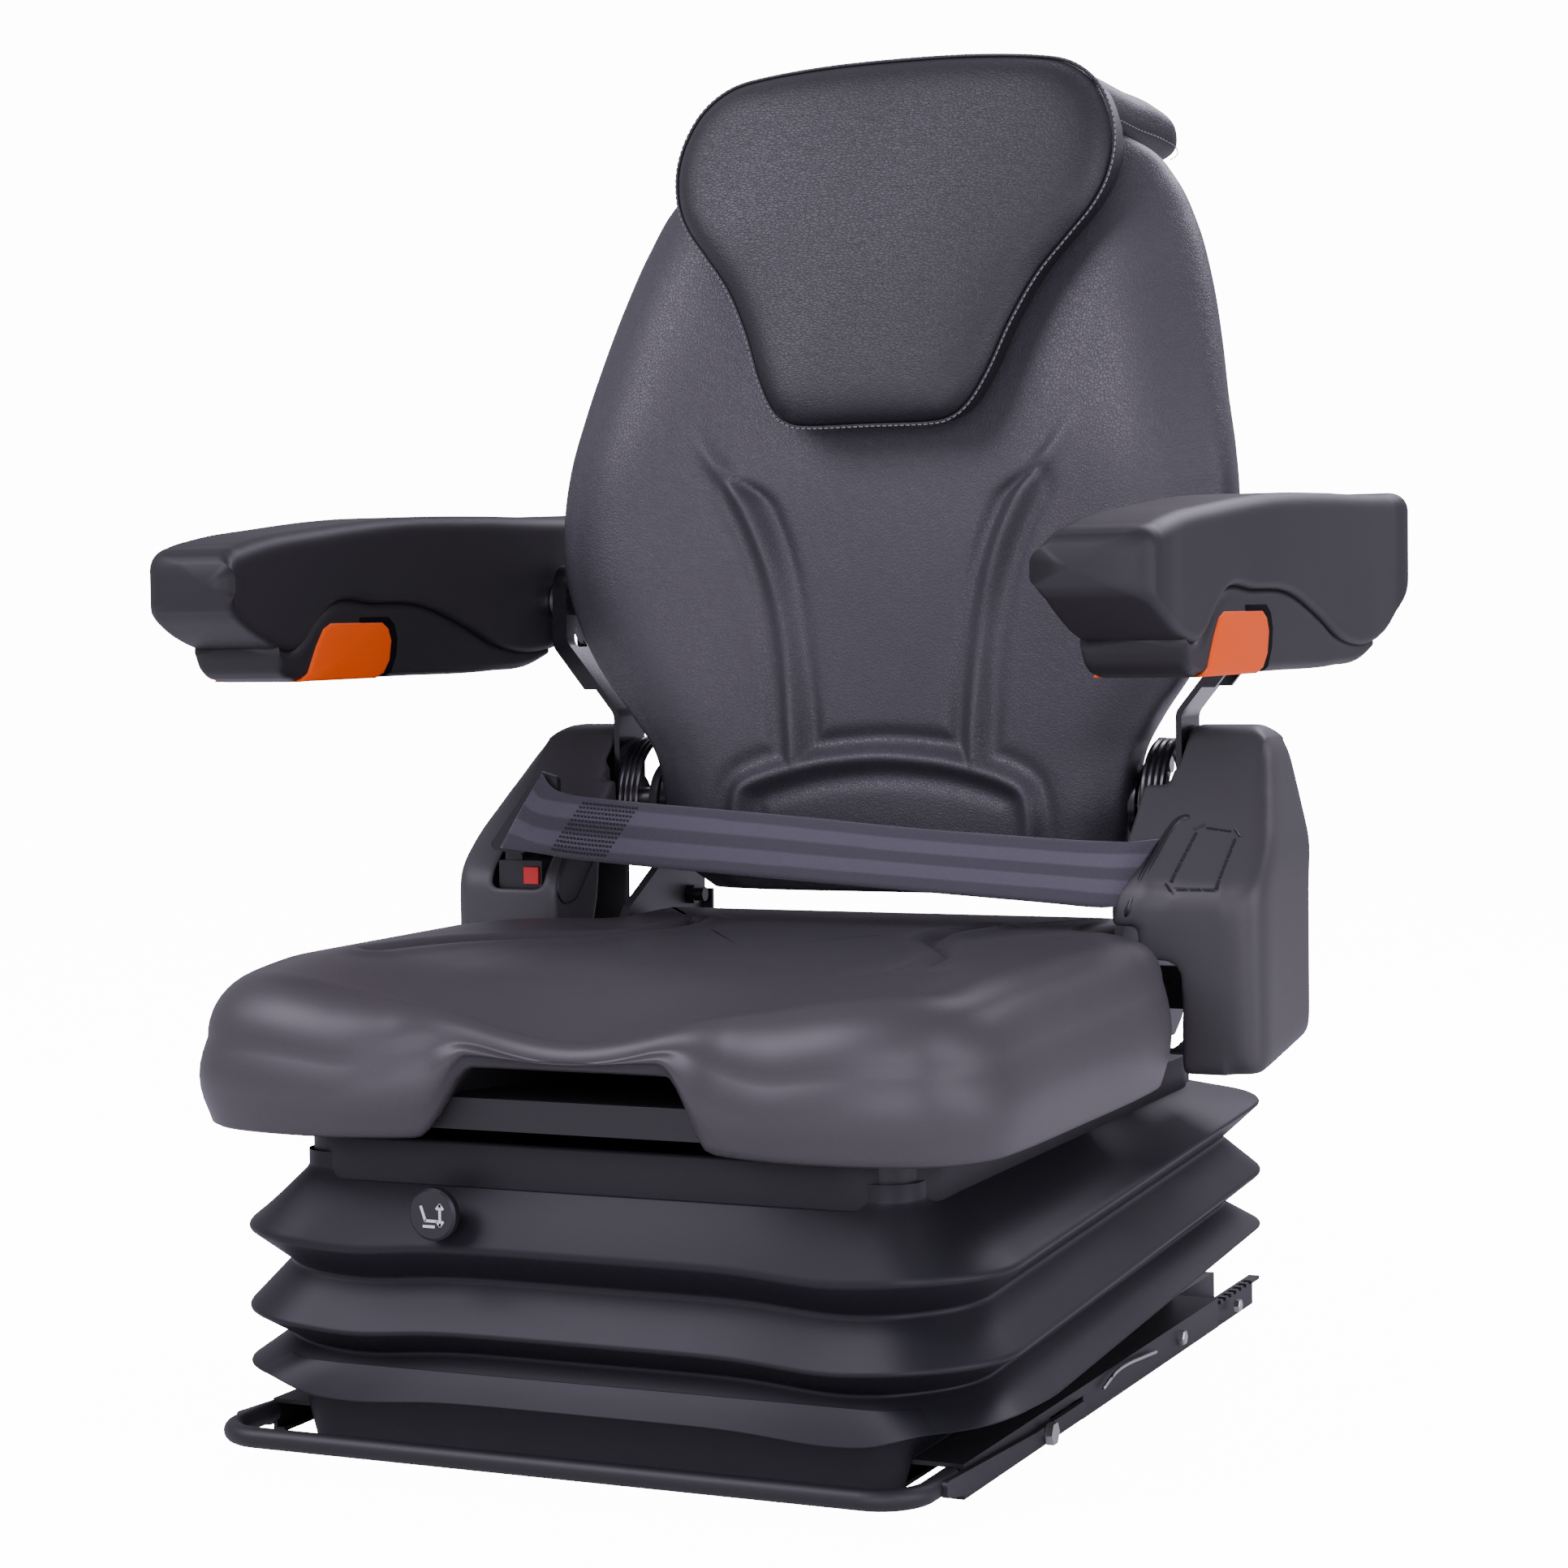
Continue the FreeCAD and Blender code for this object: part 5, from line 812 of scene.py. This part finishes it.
def foldRing(kind, z, slope):
    flat = foldOutline(*folds[kind])
    side, forward = np.abs(flat[:, 0]), -flat[:, 1]
    heights = z + slope * (flat[:, 1] - folds["slopeMiddle"]) / folds["slopeRun"]
    onFront = ease(forward, 150.0, 235.0)
    if kind in ("crest", "lowCrest", "valley"):
        heights = heights - folds["sag"] * onFront * bell(side - folds["sagAt"], folds["sagWidth"])
    if kind == "lowCrest":  # its front corners stand clear of the lifted handle
        heights = heights + folds["cornerLift"] * onFront * ease(side, 170.0, 212.0)
    if kind == "foot":
        heights = heights - (heights - folds["droop"]) * ease(forward, 240.0, 250.0)
    return np.column_stack([flat, heights])


def squashed(piece):
    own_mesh(piece)


def makeBellows():
    corners = [foldRing(*station) for station in folds["stations"]]
    soft = folds["softness"]
    rings = [corners[0]]
    for before, here, after in zip(corners, corners[1:], corners[2:]):
        start, finish = here + (before - here) * soft, here + (after - here) * soft
        for t in np.linspace(0.0, 1.0, 7):
            rings.append((1 - t) ** 2 * start + 2 * t * (1 - t) * here + t * t * finish)
        rings.append(finish + (after - finish) * 0.4)
    rings.append(corners[-1])
    piece = ringMesh("bellowsSkin", rings, "bellowsRubber", capStart=False, capEnd=False)
    settle(piece, "carriage", "bellows_rubber", "bellows")
    squashed(piece)


def makeCollar():
    collar = folds["collar"]
    thick, low, high = collar["thick"], collar["low"], collar["high"]
    rings = []
    for inset, z in ((thick, low), (0.8, low), (0.0, low + 1.0), (0.0, high - 2.0), (0.6, high - 0.6),
                     (2.0, high), (thick, high), (thick, low)):
        flat = foldOutline(collar["half"] - inset, collar["front"] + inset, collar["rear"] - inset,
                           collar["corner"] - inset)
        rings.append(np.column_stack([flat, np.full(len(flat), z)]))
    piece = ringMesh("bellowsCollar", rings, "collarRubber", capStart=False, capEnd=False)
    settle(piece, "suspended_seat", "bellows_rubber")


def makeAirSpring():
    low, high = (np.array(corner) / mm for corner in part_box("air_spring"))
    centre = (low + high) / 2
    radius = (high[0] - low[0]) / 2
    tall = high[2] - low[2]
    turn = np.linspace(0.0, 2.0 * math.pi, folds["springAround"], endpoint=False)
    rings = []
    for share in np.linspace(0.0, 1.0, 61):
        lobe = abs(math.sin(folds["lobes"] * math.pi * share)) ** 0.6
        r = radius * (folds["waist"] + (1.0 - folds["waist"]) * lobe)
        level = np.full(len(turn), low[2] + tall * share)
        rings.append(np.column_stack([centre[0] + r * np.cos(turn), centre[1] + r * np.sin(turn), level]))
    piece = ringMesh("airSpringSkin", rings, "bellowsRubber")
    settle(piece, "carriage", "bellows_rubber", "air_spring")
    squashed(piece)


makeBellows()
makeCollar()
makeAirSpring()
print("bellows made")


# armrests
armrest = {
    "middle": 297.0, "half": 37.0, "toeIn": 62.0, "topRound": 11.0, "lowRound": 5.0, "overlap": 3.0,
    "inset": 1.8, "around": 110,
    # distance from front to rear, then height or share of the full width
    "top": [(-214, 518), (-211, 522.5), (-206, 526), (-192, 530), (-165, 535), (-100, 542), (0, 550),
            (100, 553), (190, 554), (250, 555), (286, 555), (300, 548)],
    "share": [(-214, 0.63), (-212.5, 0.71), (-210, 0.78), (-206, 0.83), (-200, 0.855), (-192, 0.868),
              (-165, 0.875), (-100, 0.9), (0, 0.95), (100, 0.98), (190, 1.0), (250, 1.0), (286, 1.0),
              (300, 0.93)],
    "padLow": [(-214, 497), (-211, 492), (-206, 488), (-190, 479), (-172, 471.5), (-160, 468), (-136, 466),
               (-126, 471), (-111, 483), (-92, 493), (-40, 494), (23, 492), (81, 478), (132, 462), (177, 458),
               (200, 460), (250, 474), (286, 498), (300, 514)],
    "shellLow": [(-156, 462), (-153, 455), (-147, 449.5), (-138, 447), (-100, 446.5), (0, 446.5), (120, 447),
                 (175, 450), (200, 457)],
    # from one distance to another, in so many sections
    "padRuns": [(-214.0, -180.0, 24), (-178.0, 196.0, 130), (198.0, 300.0, 44)],
    "shellRuns": [(-156.0, -138.0, 16), (-136.0, 200.0, 140)],
    "slideProud": 1.2, "slotShadowProud": 0.4,
    "slide": [(-134, 446), (-124, 451), (-113, 468), (-104, 478.5), (-95, 482), (-30, 482), (-22.5, 478),
              (-19, 470), (-22, 457), (-30, 449), (-40, 446)],
    # outline of the sheet that paints the recess shadow around the slide, by distance from front to rear and
    # height
    "slot": [(-60, 447), (-60, 486), (-22, 486), (-14, 481), (-10.5, 472), (-12.5, 460),
             (-20, 449), (-26, 447)],
}


def armSection(y, half, low, high):
    tall = high - low
    upper = min(armrest["topRound"], 0.45 * tall, 0.45 * half)
    lower = min(armrest["lowRound"], 0.4 * tall)
    points = arc(half - upper, high - upper, upper, 0.0, 9)
    points += arc(-half + upper, high - upper, upper, 90.0, 9)
    points += arc(-half + lower, low + lower, lower, 180.0, 9)
    points += arc(half - lower, low + lower, lower, 270.0, 9)
    flat = evenly(np.array(points + points[:1]), armrest["around"])
    return np.column_stack([flat[:, 0], np.full(len(flat), y), flat[:, 1]])


def armRings(runs, half, low, high, middle):
    rings = []
    for y in np.concatenate([np.linspace(*run) for run in runs]):
        ring = armSection(y, float(half(y)), float(low(y)), float(high(y)))
        ring[:, 0] += float(middle(y))
        rings.append(ring)
    return rings


def slideRings(profile, proud, half, middle):
    corners = np.array(profile, float)
    steps = np.roll(corners, -1, axis=0) - corners
    shares = (0.0, 0.25, 0.5, 0.75)
    dense = np.array([corner + step * share for corner, step in zip(corners, steps) for share in shares])
    core = dense.mean(axis=0)
    rings = []
    # full size at both flanks, drawn in between them so that the shell hides it
    for flank, inward, size in ((-1, 0.0, 0.9), (-1, 0.4, 0.97), (-1, 1.6, 1.0), (-1, 5.0, 1.0),
                                (-1, 6.0, 0.72), (1, 6.0, 0.72), (1, 5.0, 1.0), (1, 1.6, 1.0),
                                (1, 0.4, 0.97), (1, 0.0, 0.9)):
        flat = core + (dense - core) * size
        across = [float(middle(y)) + flank * (float(half(y)) + proud - inward) for y in flat[:, 0]]
        rings.append(np.column_stack([across, flat]))
    return rings


def makeArmrest(side, sign):
    top, share, padLow, shellLow = (easeTable(armrest[key]) for key in ("top", "share", "padLow", "shellLow"))
    end = side.capitalize()

    def middle(y):
        return sign * (armrest["middle"] - armrest["toeIn"] * (1.0 - share(y)))

    def padHalf(y):
        return armrest["half"] * share(y)

    def shellHalf(y):
        return padHalf(y) - armrest["inset"]

    def shellTop(y):
        return padLow(y) + armrest["overlap"]

    pad = armRings(armrest["padRuns"], padHalf, padLow, top, middle)
    pad = ringMesh("armrestPad" + end, pad, "armrestSkin")
    settle(pad, "armrest_" + side, "armrest_foam", "armrest_pad_" + side)
    shell = armRings(armrest["shellRuns"], shellHalf, shellLow, shellTop, middle)
    shell = ringMesh("armrestShell" + end, shell, "shellPlastic")
    settle(shell, "armrest_" + side, "black_plastic", "armrest_shell_" + side)
    # a near-black sheet a little larger than the slide, just proud of the shell, paints the shadow in the
    # recess around the slide
    slot = slideRings(armrest["slot"], armrest["slotShadowProud"], shellHalf, middle)
    settle(ringMesh("armrestSlotShadow" + end, slot, "slotPaintedShade"), "armrest_" + side, "black_plastic")
    slide = slideRings(armrest["slide"], armrest["slideProud"], shellHalf, middle)
    slide = ringMesh("armrestSlide" + end, slide, "orangeGloss")
    settle(slide, "slider_" + side, "orange_plastic", "armrest_slider_" + side)


for side, sign in (("left", -1.0), ("right", 1.0)):
    makeArmrest(side, sign)
print("armrests made")


# side covers, softened from the plain mouldings with their inner walls and flanks
innerWall = [(102, 263), (98.5, 298), (105, 312), (120, 327), (176, 379), (184, 379), (184, 330), (166, 318),
             (162, 290), (152, 263)]
flank = [(98, 284), (97.6, 296), (100.5, 306), (106, 314), (166, 370), (172, 370), (172, 300), (150, 284)]
cornerFill = [(128, 335), (166, 370), (172, 370), (172, 335)]
slotFill = [(97.4, 284), (97.4, 296), (100.3, 306), (106, 314), (150, 355), (155, 350), (112, 310),
            (104, 296), (104, 284)]
covers = {
    # profile seen from the side, and the two distances from the middle that it spans
    "added": {"left": [(innerWall, 205.5, 210.0), (cornerFill, 195.0, 208.0)],
              "right": [(innerWall, 205.5, 210.0), (flank, 189.0, 208.0), (slotFill, 206.0, 250.0)]},
    "voxel": 1.7, "rounds": 10, "wideRounds": 70, "wideFrom": 262.0,
    "slopeStart": (97.0, 306.0), "slopeEnd": (205.0, 406.0),
    "knockOut": [(235, 345), (261, 342), (257, 309), (226, 309)],
    "dashes": {"Pitch": 9.0, "Mark Length": 7.6, "Mark Width": 1.1, "Mark Height": 1.1},
    "slot": [(199, 291), (202, 298), (208, 318), (215, 340), (220, 348), (226, 350)],
    "slotR": 2.6, "slotDepth": 1.6, "slotFront": 98.5,
    "hook": [(110, 321), (101, 299), (108, 290), (120, 289), (131, 293), (153, 314)],
    "hookX": -205.3, "hookR": 0.8,
}


def addPrism(work, profile, low, high):
    profile = np.array(profile, float) * mm
    rings = [[work.verts.new((x * mm, y, z)) for y, z in profile] for x in (low, high)]
    faces = [work.faces.new(rings[0]), work.faces.new(list(reversed(rings[1])))]
    for step in range(len(profile)):
        ahead = (step + 1) % len(profile)
        faces.append(work.faces.new((rings[0][step], rings[1][step], rings[1][ahead], rings[0][ahead])))
    bmesh.ops.recalc_face_normals(work, faces=faces)


def makeCover(side, sign):
    name = "sideCover" + side.capitalize()
    mesh = nodes["side_cover_" + side].data.copy()
    work = bmesh.new()
    work.from_mesh(mesh)
    bmesh.ops.remove_doubles(work, verts=work.verts, dist=1e-5)
    for profile, low, high in covers["added"][side]:
        addPrism(work, profile, sign * low, sign * high)
    work.to_mesh(mesh)
    work.free()
    draft = linkNew(name + "Draft", mesh)
    remesh = draft.modifiers.new("remesh", "REMESH")
    remesh.mode = "VOXEL"
    remesh.voxel_size = covers["voxel"] * mm
    fine = finalMesh(draft)
    points = np.empty(len(fine.vertices) * 3)
    fine.vertices.foreach_get("co", points)
    points = points.reshape(-1, 3)
    edges = np.empty(len(fine.edges) * 2, int)
    fine.edges.foreach_get("vertices", edges)
    edges = edges.reshape(-1, 2)
    degree = np.bincount(edges.ravel(), minlength=len(points))[:, None]
    wide = np.abs(points[:, 0]) > covers["wideFrom"] * mm  # only the outer shoulders take the later rounds
    for turn in range(covers["rounds"] + covers["wideRounds"]):
        total = np.zeros_like(points)
        np.add.at(total, edges[:, 0], points[edges[:, 1]])
        np.add.at(total, edges[:, 1], points[edges[:, 0]])
        moved = 0.5 * points + 0.5 * total / degree
        points = moved if turn < covers["rounds"] else np.where(wide[:, None], moved, points)
    fine.vertices.foreach_set("co", points.ravel())
    fine.materials.clear()
    fine.materials.append(finishes["coverPlastic"])
    for polygon in fine.polygons:
        polygon.use_smooth = True
    fine.name = name
    settle(linkNew(name, fine), "suspended_seat", "grey_plastic", "side_cover_" + side)


def slopeY(z):
    (startY, startZ), (endY, endZ) = covers["slopeStart"], covers["slopeEnd"]
    return startY + (z - startZ) * (endY - startY) / (endZ - startZ)


def makeKnockOuts():
    loop = np.array([(x, slopeY(z) - 0.5, z) for x, z in covers["knockOut"]])
    path = []
    for here, ahead in zip(loop, np.roll(loop, -1, axis=0)):
        path += [here + (ahead - here) * share for share in np.linspace(0.0, 1.0, 12, endpoint=False)]
    marksAlong("knockOutLine", [path], dashTree, covers["dashes"], "suspended_seat", "grey_plastic",
               closed=True)
    slot = [(x, max(slopeY(z), covers["slotFront"]) + covers["slotDepth"], z) for x, z in covers["slot"]]
    slot = curveThrough(slot, 60, closed=False)
    slot = tubeMesh("beltSlot", slot, covers["slotR"], "blackPlastic", closed=False)
    settle(slot, "suspended_seat", "black_plastic")
    hook = curveThrough([(covers["hookX"], y, z) for y, z in covers["hook"]], 60, closed=False)
    hook = tubeMesh("knockOutHook", hook, covers["hookR"], "blackPlastic", closed=False)
    settle(hook, "suspended_seat", "grey_plastic")


for side, sign in (("left", -1.0), ("right", 1.0)):
    makeCover(side, sign)
makeKnockOuts()
print("side covers made")


# lap belt
belt = {
    "top": [(-208, 85, 378), (-194, 86, 366), (-148, 94, 360), (-36, 97, 352), (60, 97, 344.5),
            (150, 100, 339), (186, 103, 337.5), (203, 110, 337), (211, 128, 337), (214, 150, 335)],
    "bottom": [(-240, 84, 328), (-208, 80, 325), (-170, 79, 321), (-36, 78, 312), (60, 78, 306),
               (150, 82, 300), (178, 86, 297.5), (191, 95, 296.5), (198, 118, 296), (203, 146, 294)],
    "thick": 1.6, "width": 46.0, "bow": 1.2, "along": 220, "across": 14,
    "tack": (36.0, 78.0), "tackRows": 12, "tackProud": 0.15,
    "tackMarks": {"Pitch": 2.5, "Mark Length": 1.4, "Mark Width": 0.75},
}


def beltFaces(long, wide):
    layer = long * wide
    faces = []
    for row in range(long - 1):
        for step in range(wide - 1):
            corner = row * wide + step
            faces.append((corner, corner + 1, corner + wide + 1, corner + wide))
            under = layer + corner
            faces.append((under, under + wide, under + wide + 1, under + 1))
        for step in (0, wide - 1):
            corner = row * wide + step
            faces.append((corner, corner + wide, layer + corner + wide, layer + corner))
    for row in (0, long - 1):
        for step in range(wide - 1):
            corner = row * wide + step
            faces.append((corner, corner + 1, layer + corner + 1, layer + corner))
    return faces


def makeBelt():
    long, wide = belt["along"], belt["across"]
    top = curveThrough(belt["top"], long, closed=False)
    bottom = curveThrough(belt["bottom"], long, closed=False)
    rise = top - bottom
    middle = 0.5 * (top + bottom)
    walked = lengthsAlong(middle)
    shares = np.linspace(0.0, 1.0, wide)
    facing = np.cross(rise, np.gradient(middle, axis=0))
    facing /= np.linalg.norm(facing, axis=1)[:, None]
    facing *= np.where(facing[:, 1] > 0.0, -1.0, 1.0)[:, None]
    bow = belt["bow"] * np.sin(math.pi * shares)
    flat = bottom[:, None, :] + rise[:, None, :] * shares[None, :, None]
    front = flat + facing[:, None, :] * bow[None, :, None]
    rear = front - facing[:, None, :] * belt["thick"]
    points = [tuple(spot * mm) for layer in (front, rear) for row in layer for spot in row]
    piece = newPiece("lapBelt", points, beltFaces(long, wide), "webbing")
    uv = piece.data.uv_layers.new(name="belt")
    for loop in piece.data.loops:
        spot = np.array(piece.data.vertices[loop.vertex_index].co) / mm
        row = int(np.argmin(np.linalg.norm(middle - spot, axis=1)))
        across = (spot - bottom[row]) @ rise[row] / (rise[row] @ rise[row])
        uv.data[loop.index].uv = (walked[row] * mm, np.clip(across, 0.0, 1.0) * webbing["span"])
    settle(piece, "suspended_seat", "webbing", "belt_webbing")
    start, end = np.searchsorted(walked, belt["tack"])
    lines = []
    for share in np.linspace(0.1, 0.9, belt["tackRows"]):
        column = share * (wide - 1)
        low = int(column)
        line = front[start:end, low] + (front[start:end, low + 1] - front[start:end, low]) * (column - low)
        lines.append(line + facing[start:end] * belt["tackProud"])
    marksAlong("beltTack", lines, darkThreadTree, belt["tackMarks"], "suspended_seat", "webbing")


makeBelt()
print("lap belt made")


# small hardware and the button's sign
hardware = {
    "wire": [(221.5, -19, 18.5), (221.5, 4, 23.2), (221.5, 27, 23.5), (221.5, 55, 21.5), (221.5, 82, 19.4)],
    "wireR": 1.2,
    # seat of the head, then its radius
    "bolts": [(218.4, 142, 16.0, 5.0), (214.9, 278, 10.0, 4.5), (218.4, -113, 14.0, 4.5)],
    # how far out, share of the radius
    "boltSteps": [(0.0, 1.0), (3.2, 1.0), (4.0, 0.82), (4.0, 0.001)],
    "signCentre": (-86.0, -281.5, 149.0), "stroke": 1.5, "strokeEnd": 0.4, "signProud": 0.35, "signSunk": 0.3,
    "strokes": [[(-6.5, 4.5), (-3.8, -3.4), (3.4, -3.4)], [(5.6, -5.8), (5.6, 5.8)],
                [(3.7, 3.6), (5.6, 5.9), (7.5, 3.6)], [(3.7, -3.6), (5.6, -5.9), (7.5, -3.6)],
                [(-5.0, -6.6), (1.8, -6.6)]],
}


def makeBolts():
    points = []
    faces = []
    for x, y, z, r in hardware["bolts"]:
        first = len(points)
        for out, share in hardware["boltSteps"]:
            start = len(points)
            for turn in np.radians(np.arange(0.0, 360.0, 60.0)):
                spot = (x + out, y + r * share * math.cos(turn), z + r * share * math.sin(turn))
                points.append(tuple(value * mm for value in spot))
            if out > 0.0:
                for corner in range(6):
                    ahead = (corner + 1) % 6
                    faces.append((start - 6 + corner, start - 6 + ahead, start + ahead, start + corner))
        faces.append(tuple(range(first + 5, first - 1, -1)))
    settle(newPiece("railBolts", points, faces, "zincPlate", smooth=False), "carriage", "zinc_steel")


def makeSign():
    cx, cy, cz = hardware["signCentre"]
    points = []
    faces = []
    for stroke in hardware["strokes"]:
        for a, b in zip(np.array(stroke[:-1]), np.array(stroke[1:])):
            run = (b - a) / np.linalg.norm(b - a)
            side = np.array([-run[1], run[0]]) * hardware["stroke"] / 2
            a, b = a - run * hardware["strokeEnd"], b + run * hardware["strokeEnd"]
            start = len(points)
            for depth in (-hardware["signProud"], hardware["signSunk"]):
                for px, pz in (a + side, b + side, b - side, a - side):
                    points.append(((cx + px) * mm, (cy + depth) * mm, (cz + pz) * mm))
            faces.append((start, start + 1, start + 2, start + 3))
            faces.append((start + 7, start + 6, start + 5, start + 4))
            for corner in range(4):
                ahead = (corner + 1) % 4
                faces.append((start + corner, start + 4 + corner, start + 4 + ahead, start + ahead))
    settle(newPiece("liftSign", points, faces, "whitePrint", smooth=False), "height_button", "grey_plastic")


def makeWire():
    wire = curveThrough(hardware["wire"], 60, closed=False)
    wire = tubeMesh("handleWire", wire, hardware["wireR"], "zincPlate", closed=False)
    settle(wire, "carriage", "zinc_steel")


makeBolts()
makeSign()
makeWire()
print("small hardware made")


# floor
def layFloor():
    half, low = studio["floorHalf"], -studio["floorDrop"]
    mesh = bpy.data.meshes.new("studioFloor")
    corners = [(-half, -half, low), (half, -half, low), (half, half, low), (-half, half, low)]
    mesh.from_pydata(corners, [], [(0, 1, 2, 3)])
    floor = linkNew("studioFloor", mesh)
    material, tree, shader = newMaterial("paleFloor")
    setInputs(shader, {"Base Color": studio["floor"], "Roughness": studio["floorRough"],
                       "Emission Color": (1.0, 1.0, 1.0, 1.0)})
    path = tree.nodes.new("ShaderNodeLightPath")
    glow = mathNode(tree, "MULTIPLY", path.outputs["Is Camera Ray"], studio["floorGlow"])
    tree.links.new(glow, shader.inputs["Emission Strength"])
    mesh.materials.append(material)


layFloor()

print("scene finished")
